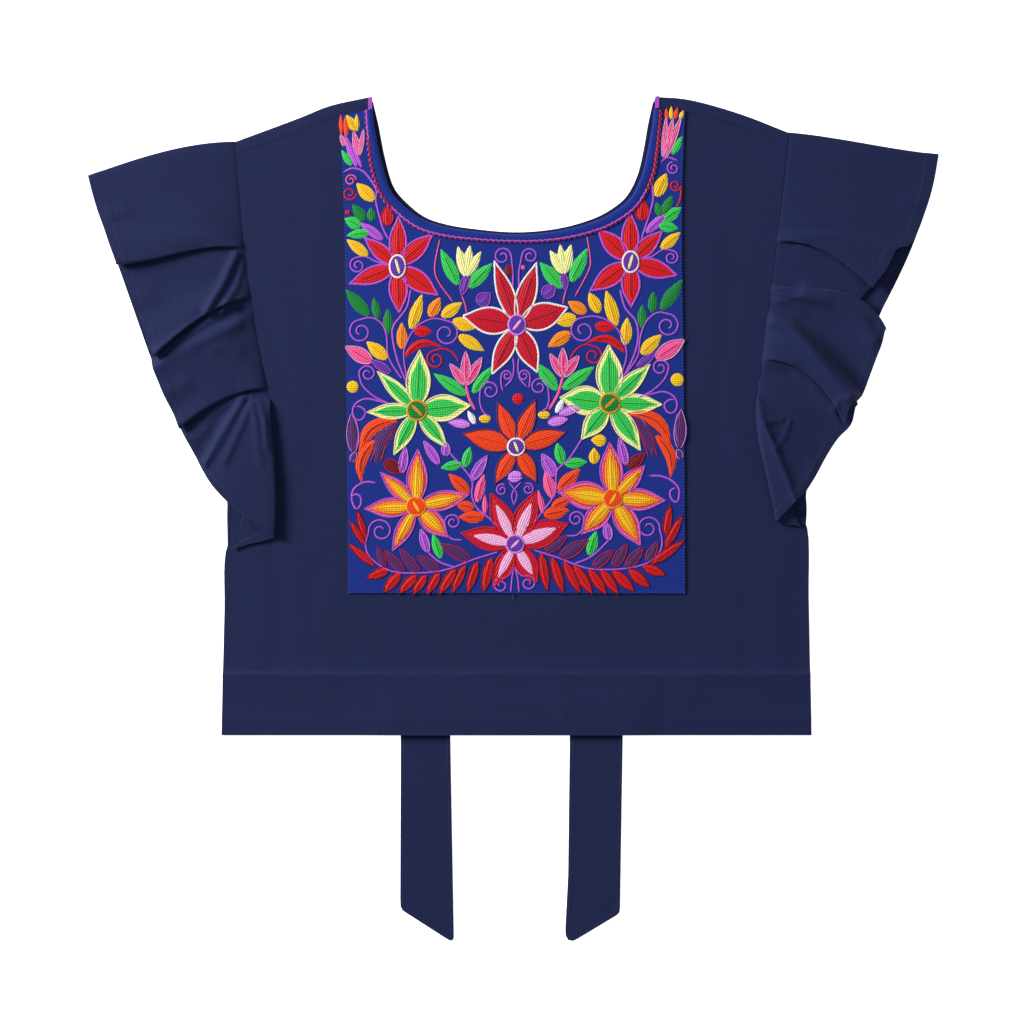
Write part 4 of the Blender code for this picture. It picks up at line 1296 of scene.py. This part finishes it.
# Stems and arcs: width, then points
vines = {
    "violet": (
        (
            1.5, (344, 173), (352, 169), (362, 171), (370, 179), (377, 191), (376, 199), (378, 210),
            (383, 228), (389, 240),
        ),
        (1.5, (654, 171), (652, 186), (653, 200), (648, 219), (641, 240)),
        (1.4, (661, 163), (667, 158), (677, 161)),
        (1.5, (411, 290), (407, 308), (394, 326), (393, 339), (398, 361), (408, 385)),
        (1.5, (620, 290), (625, 308), (636, 322), (638, 339), (633, 358), (622, 380)),
        (1.4, (428, 552), (440, 562), (455, 567)),
        (1.4, (609, 540), (592, 556), (574, 564)),
        (
            1.4, (389, 404), (378, 401), (366, 399), (356, 404), (353, 413), (357, 420), (363, 419),
            (366, 412), (361, 407), (356, 407),
        ),
        (
            1.4, (641, 396), (652, 394), (664, 392), (674, 397), (677, 406), (673, 413), (667, 412),
            (664, 405), (669, 400), (674, 400),
        ),
        (
            1.5, (376, 483), (366, 482), (355, 488), (352, 498), (356, 509), (361, 505), (361, 497),
            (356, 494), (352, 497),
        ),
        (
            1.5, (649, 476), (660, 476), (672, 481), (679, 490), (677, 502), (671, 499), (670, 491),
            (675, 488),
        ),
        (1.3, (513, 358), (514, 368), (512, 379), (505, 387)),
        (1.3, (519, 358), (518, 368), (520, 379), (527, 387)),
        (1.3, (514, 567), (512, 579), (511, 592)),
        (1.3, (515, 567), (518, 579), (519, 592)),
        (1.4, (446, 449), (458, 462), (472, 480), (472, 495), (477, 508), (489, 518), (498, 526)),
        (1.4, (582, 439), (569, 459), (557, 471), (556, 489), (552, 499), (533, 524)),
        (1.2, (509, 482), (517, 494), (514, 505)),
        (1.2, (521, 482), (512, 494), (514, 505)),
        (1.0, (356, 418), (359, 433), (356, 449)),
        (1.0, (677, 414), (675, 429), (678, 445)),
        (1.0, (388, 424), (383, 440), (377, 458)),
        (1.0, (641, 418), (648, 432), (652, 452)),
    ),
    "pink": (
        (1.1, (440, 240), (435, 266), (438, 281), (453, 302)),
        (1.1, (587, 237), (590, 257), (589, 270), (575, 297)),
        (1.2, (462, 296), (465, 304), (467, 314)),
        (1.2, (566, 291), (564, 298), (563, 305)),
        (2.2, (466, 385), (469, 398), (475, 410)),
        (2.2, (563, 377), (558, 394), (549, 410)),
    ),
    "crimson": (
        (1.0, (392, 424), (380, 440), (371, 462)),
        (1.0, (396, 426), (388, 440), (381, 462)),
        (1.0, (635, 418), (648, 430), (657, 456)),
        (1.0, (633, 420), (641, 436), (648, 456)),
        (1.0, (352, 420), (353, 433), (352, 448)),
        (1.0, (681, 416), (682, 429), (681, 444)),
    ),
    "blue": (
        (0.5, (513, 593), (512, 596), (514, 600)),
    ),
}

# Curls: colour, centre x, y, radius, angle of the outer end, which way it winds in, and the stem
spirals = (
    ("violet", 502.5, 257, 9, 0, 1, (513, 289), (513, 272), (512, 262)),
    ("violet", 530, 256.5, 8, 180, -1, (519, 289), (519, 272), (521, 262)),
    ("violet", 507, 376, 5.5, 180, -1, (503, 391), (501, 383)),
    ("violet", 524, 376, 6, 0, 1, (529, 388), (530, 381)),
    ("violet", 490, 391, 9.5, 180, -1, (491, 417), (484, 413), (480, 403)),
    ("violet", 539, 387, 9, 0, 1, (541, 412), (547, 408), (549, 399)),
    ("red", 436, 360, 9.5, 90, 1, (459, 362), (453, 353), (444, 349)),
    ("red", 593, 356, 9.5, 90, -1, (570, 359), (576, 350), (585, 345)),
    ("violet", 446, 334, 13, 90, -1, (408, 382), (404, 357), (407, 343), (417, 327), (433, 319)),
    ("violet", 583, 331, 13, 90, 1, (619, 379), (626, 360), (625, 345), (614, 325), (597, 317)),
    ("violet", 361, 332, 12, 90, 1, (402, 379), (389, 358), (387, 336), (382, 324), (372, 318)),
    ("violet", 667, 326, 12, 90, -1, (626, 374), (638, 356), (640, 338), (646, 322), (657, 313)),
    ("violet", 358, 266, 8, 110, 1, (388, 265), (376, 262), (366, 257)),
    ("violet", 368, 374, 8.5, 180, -1, (390, 404), (375, 397), (363, 386)),
    ("violet", 660, 368, 8.5, 0, 1, (638, 398), (652, 391), (664, 380)),
    ("violet", 671, 258, 7, 60, -1, (641, 259), (652, 257), (663, 250)),
    ("violet", 453, 522, 8, 180, -1, (462, 540), (452, 539), (446, 532)),
    ("violet", 576, 519, 8, 0, 1, (566, 536), (577, 535), (583, 528)),
    ("violet", 502, 490, 6, 60, 1),
    ("violet", 528, 489, 6, 120, -1),
    (
        "violet", 381, 531, 12.5, 190, -1,
        (498, 552), (472, 560), (455, 567), (440, 571), (418, 573), (391, 571), (371, 558), (366, 545),
    ),
    (
        "violet", 648, 528, 12, -10, 1,
        (534, 550), (559, 558), (574, 564), (592, 569), (620, 569), (645, 564), (659, 553), (662, 541),
    ),
    ("violet", 501, 585, 8, 60, 1, (514, 567), (510, 574)),
    ("violet", 528, 583, 8, 120, -1, (515, 567), (520, 574)),
    ("pink", 351, 181, 6, 0, 1),
    ("red", 350, 194, 7, 0, -1),
    ("violet", 673, 169, 6.5, 90, 1),
    ("red", 675, 186, 6, 0, -1, (676, 208), (680, 200)),
)
dots = (
    ("yellow", 353, 387, 6, 6),
    ("yellow", 677, 380, 6.5, 6.5),
    ("yellow", 485, 419, 6, 4),
    ("yellow", 544, 415, 6, 4),
    ("red", 518, 399, 5.4, 5.4),
    ("pink", 523, 268, 2, 2.5),
    ("red", 348, 213, 2.5, 2.5),
    ("lilac", 515, 475, 7, 4),
)
narrowLeaf = 7  # up to this width a leaf has no rib
ribs = {
    "red": "darkRed",
    "green": "darkGreen",
    "yellow": "orange",
    "orange": "vermilion",
    "vermilion": "darkRed",
    "pink": "crimson",
    "purple": "violet",
    "violet": "purple",
}


def makeEmbroidery():
    for flower in flowers:
        addFlower(*flower)
    for (fill, outline), rows in leafSets.items():
        for x0, y0, x1, y1, width in rows:
            rib = ribs.get(fill) if width > narrowLeaf else None
            share = fullness["garland"] if outline == "darkRed" else fullness["leaf"]
            addLeaf(fill, (x0, y0), (x1, y1), width * share, outline, 0.8, rib=rib)
    for fill, bend, x0, y0, x1, y1, width in bentLeaves:
        addLeaf(fill, (x0, y0), (x1, y1), width, None, 1, 0.5, ribs.get(fill), bend=bend)
    for colour, stems in vines.items():
        for width, *points in stems:
            addThread(colour, curveThrough(onTable(points), 6), width, 0.5)
    for curl in spirals:
        addSpiral(*curl)
    for colour, x, y, across, down in dots:
        addDisc(colour, (x, y), across, down, 0.7)


def stitchDepth(share):
    # Close to the edge at the neck points and at the bottom of the scoop, further out at its sides
    return np.interp(np.minimum(share, 1 - share), (0, 0.04, 0.13, 0.3, 0.5), (5.0, 5.6, 8.4, 7.6, 5.2))


neckStitch = {"length": 2.2, "barWidth": 3.4, "bars": ((-119.0, 336, 345.0), (116.0, 337, 345.6))}


def makeNeckStitches():
    edge = frontNeck()
    path = intoCloth(edge, stitchDepth(travelled(edge) / travelled(edge)[-1]))
    far = travelled(path)
    beads = int(far[-1] / neckStitch["length"])
    for number in range(beads):
        at = (number + np.array([-0.1, 0.3, 0.7, 1.1])) / beads * far[-1]
        bead = np.stack([np.interp(at, far, path[:, k]) for k in range(2)], axis=1)
        x, y = bead[1]
        reds = ("darkRed", "crimson") if x < 0 else ("crimson", "vermilion")
        redPart = 256 < y < 312 if x < 0 else 270 < y < 334
        first = reds[number % 2] if redPart else ("violet", "pink")[number % 3 == 0]
        second = "darkRed" if number % 2 else ("violet" if redPart else "purple")
        slant = (0.5, 0.15, -0.15, -0.5) if number % 2 else (-0.5, -0.15, 0.15, 0.5)
        side = np.gradient(bead, axis=0)
        side = np.stack([side[:, 1], -side[:, 0]], axis=1) / np.linalg.norm(side, axis=1)[:, None]
        shift = np.reshape(slant, (-1, 1)) * side
        addStrip(first, bead + shift, (0.8, 1.5, 1.5, 0.8), 0.7, 0, bindingLevel + 0.5)
        addStrip(second, bead + shift + 1.3 * side, (0.6, 1.2, 1.2, 0.6), 0.6, 0, bindingLevel + 0.1)
    # Bars over the back's turn at the neck points
    half = neckStitch["barWidth"] / 2
    for x, low, high in neckStitch["bars"]:
        for y in np.linspace(low, high, 9):
            bar = ((x - half, y - 0.5), (x, y), (x + half, y + 0.5))
            addStrip("violet", bar, (1.1, 1.8, 1.1), 0.8, 0, frontLevel + body["shell"])


def makeEdgeStitches():
    rows = curveThrough(bibSections, 8)
    for left, out in ((0, -1), (2, 1)):
        for x, y in evenly(rows[:, left : left + 2], 150):
            wander = 0.5 * math.sin(y * 0.35) + 0.3 * math.sin(y * 0.9)
            path = ((x - out * 1.6, y), (x - out * 0.4, y + 0.5 + 0.2 * wander), (x + out * 0.3, y + 0.9))
            addStrip("blue", path, 0.6, 0.3, 0, None, threadSection)
    for x in np.linspace(-138, 137.5, 108):
        path = ((x, -59.2), (x + 0.5, -60.2), (x + 0.8, -61.0))
        addStrip("blue", path, 0.6, 0.3, 0, None, threadSection)


def frontTop(path):
    p = np.array(path, float)
    lift = tieLift(p[:, 0], p[:, 1])
    hem = hemShare(p[:, 1])
    z = lift + 2 * body["hemExtra"] * hem + frontLevel + body["shell"] + creaseHeight(p[:, 0], p[:, 1])
    return np.column_stack([p, z])


hemStitch = {"length": 2.4, "gap": 0.9, "height": 0.25}
edgeStitch = {"width": 0.55, "length": 2.2, "gap": 0.9, "height": 0.22}


def makeSeamStitches(sleeves):
    for y, width in ((674, 0.65), (718, 0.6)):
        row = evenly(onTable(((224, y), (809, y))), 160)
        addDashes("navyThread", frontTop(row), "path", width, **hemStitch)
    for name, (piece, lines) in sleeves.items():
        count = len(lines[0])
        row = len(lines) - len(turnedEdge)
        points = lines[row]
        over = lines[row + 1] - points
        along = np.gradient(points, axis=0)
        out = np.cross(over, along)
        out *= np.sign(out[:, 2:]) / np.maximum(1e-9, np.linalg.norm(out, axis=1))[:, None]
        visible = out[:, 2] > 0.5
        run = points + out * sleeve["hemShell"] / 2
        start = None
        for k in range(count + 1):
            if k < count and visible[k]:
                start = k if start is None else start
                continue
            if start is not None and k - start > 2:
                addDashes("navyThread", run[start:k], "path", **edgeStitch)
            start = None
    for name, outline in tieOutlines.items():
        a, b = tieEdges[name]
        inset = 2.2
        path = [(a + inset, hemY)]
        path += [(x + (inset if x < (a + b) / 2 else -inset), y + inset) for x, y in outline]
        path.append((b - inset, hemY))
        addDashes("navyThread", path, tie["shell"] + tie["level"], **edgeStitch)


def makeThreadPieces():
    made = []
    for colour, work in threadWork.items():
        mesh = bpy.data.meshes.new(f"thread_{colour}")
        mesh.from_pydata(work["points"], [], work["faces"])
        spots = np.array(work["spots"])
        uv = mesh.uv_layers.new(name="Along thread")
        corner = np.empty(len(mesh.loops), int)
        mesh.loops.foreach_get("vertex_index", corner)
        uv.data.foreach_set("uv", spots[corner].ravel())
        piece = bpy.data.objects.new(f"thread_{colour}", mesh)
        bpy.context.collection.objects.link(piece)
        mesh.materials.append(threadMaterial(colour))
        select(piece)
        bpy.ops.object.mode_set(mode="EDIT")
        bpy.ops.mesh.select_all(action="SELECT")
        bpy.ops.mesh.normals_make_consistent(inside=False)
        bpy.ops.object.mode_set(mode="OBJECT")
        bpy.ops.object.shade_smooth_by_angle(angle=math.radians(70))
        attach(piece, "root")
        made.append(piece)
    return made


# Build
print("panels")
backPanel = makeBack()
frontPanel = makeFront()
bibPanel = makeBib()
frontNeckBinding = makeFrontBinding()
backNeckBinding = makeBackBinding()
print("sleeves")
sleeves = {}
sleeveFacts = {}
for name in sleeveRows:
    piece, area, flat, lines = makeSleeve(name)
    sleeves[name] = (piece, lines)
    sleeveFacts[name] = (area, flat)
print("ties")
ties = {name: makeTie(name) for name in tieOutlines}
print("embroidery")
makeEmbroidery()
makeNeckStitches()
makeEdgeStitches()
makeSeamStitches(sleeves)
threads = makeThreadPieces()

print("sheets")
for name, node, width in (("tieLeft", "tie_left", 0.044), ("tieRight", "tie_right", 0.048)):
    piece, area = ties[name]
    finishSheet(piece, navy, node, "navy_cotton", (width, 0.184), area, ["floor"])
for (piece, area), material, node, slot, flat, under, going in (
    (backPanel, navy, "back_panel", "navy_cotton", (0.483, 0.538), ["floor", "tieLeft", "tieRight"], ()),
    # The back's neck binding takes the navy cotton with painted shade
    (backNeckBinding, shadedNavy, "back_neck_binding", "dark_cotton", (0.41, 0.010), ["floor"], ()),
    (frontPanel, navy, "front_panel", "navy_cotton", (0.483, 0.513), ["backPanel"], ()),
    (bibPanel, royal, "bib", "blue_cotton", (0.2845, 0.396), ["frontPanel"], threads),
    (frontNeckBinding, royal, "front_neck_binding", "blue_cotton", (0.42, 0.0125), ["bibPanel"], ()),
):
    finishSheet(piece, material, node, slot, flat, area, under, going)
for name, node in (("sleeveLeft", "sleeve_left"), ("sleeveRight", "sleeve_right")):
    area, (length, width) = sleeveFacts[name]
    finishSheet(sleeves[name][0], navy, node, "navy_cotton", (length * mm, width * mm), area, ["floor"])

print("stage")
stage = {"floorSize": 6, "floorZ": -0.0003, "floorGlow": 0.9, "worldLight": 0.3}
bpy.ops.mesh.primitive_plane_add(size=stage["floorSize"], location=(0, 0, stage["floorZ"]))
floor = bpy.context.object
floor.name = "floor"
paper = bpy.data.materials.new("Pale floor")
paper.use_nodes = True
finish = paper.node_tree.nodes["Principled BSDF"].inputs
finish["Base Color"].default_value = tone(240, 240, 241)
finish["Roughness"].default_value = 0.9
finish["Emission Color"].default_value = (1, 1, 1, 1)
finish["Emission Strength"].default_value = stage["floorGlow"]
floor.data.materials.append(paper)

world = bpy.data.worlds.new("Studio")
bpy.context.scene.world = world
world.use_nodes = True
world.node_tree.nodes["Background"].inputs["Color"].default_value = (1, 1, 1, 1)
world.node_tree.nodes["Background"].inputs["Strength"].default_value = stage["worldLight"]


# Where each light is, in metres from the garment's middle, how wide it is and how strong
lights = {"key": ((-3.2, 1.6, 1.7), 1.5, 268), "fill": ((0.9, 1.0, 2.0), 1.4, 7)}


def addLight(name, place, size, power):
    bpy.ops.object.light_add(type="AREA", location=place)
    light = bpy.context.object
    light.name = name
    light.data.shape = "DISK"
    light.data.size = size
    light.data.energy = power
    # Turned to look at the garment's middle
    x, y, z = place
    light.rotation_euler = (math.atan2(math.hypot(x, y), z), 0, math.atan2(-x, y) + math.pi)


for name, (place, size, power) in lights.items():
    addLight(name, place, size, power)

# Straight down, over the middle of the picture, which is that many steps of the plan wide
view = {"steps": 1024, "lens": 85, "sensor": 36}
frameWidth = view["steps"] * planStep * mm
middle = onTable((view["steps"] / 2, view["steps"] / 2))[0] * mm
height = frameWidth * view["lens"] / view["sensor"]
bpy.ops.object.camera_add(location=(middle[0], middle[1], height), rotation=(0, 0, 0))
camera = bpy.context.object
camera.data.lens = view["lens"]
camera.data.sensor_width = view["sensor"]
bpy.context.scene.camera = camera
# The default view bleaches the thread colours
bpy.context.scene.view_settings.view_transform = "Standard"
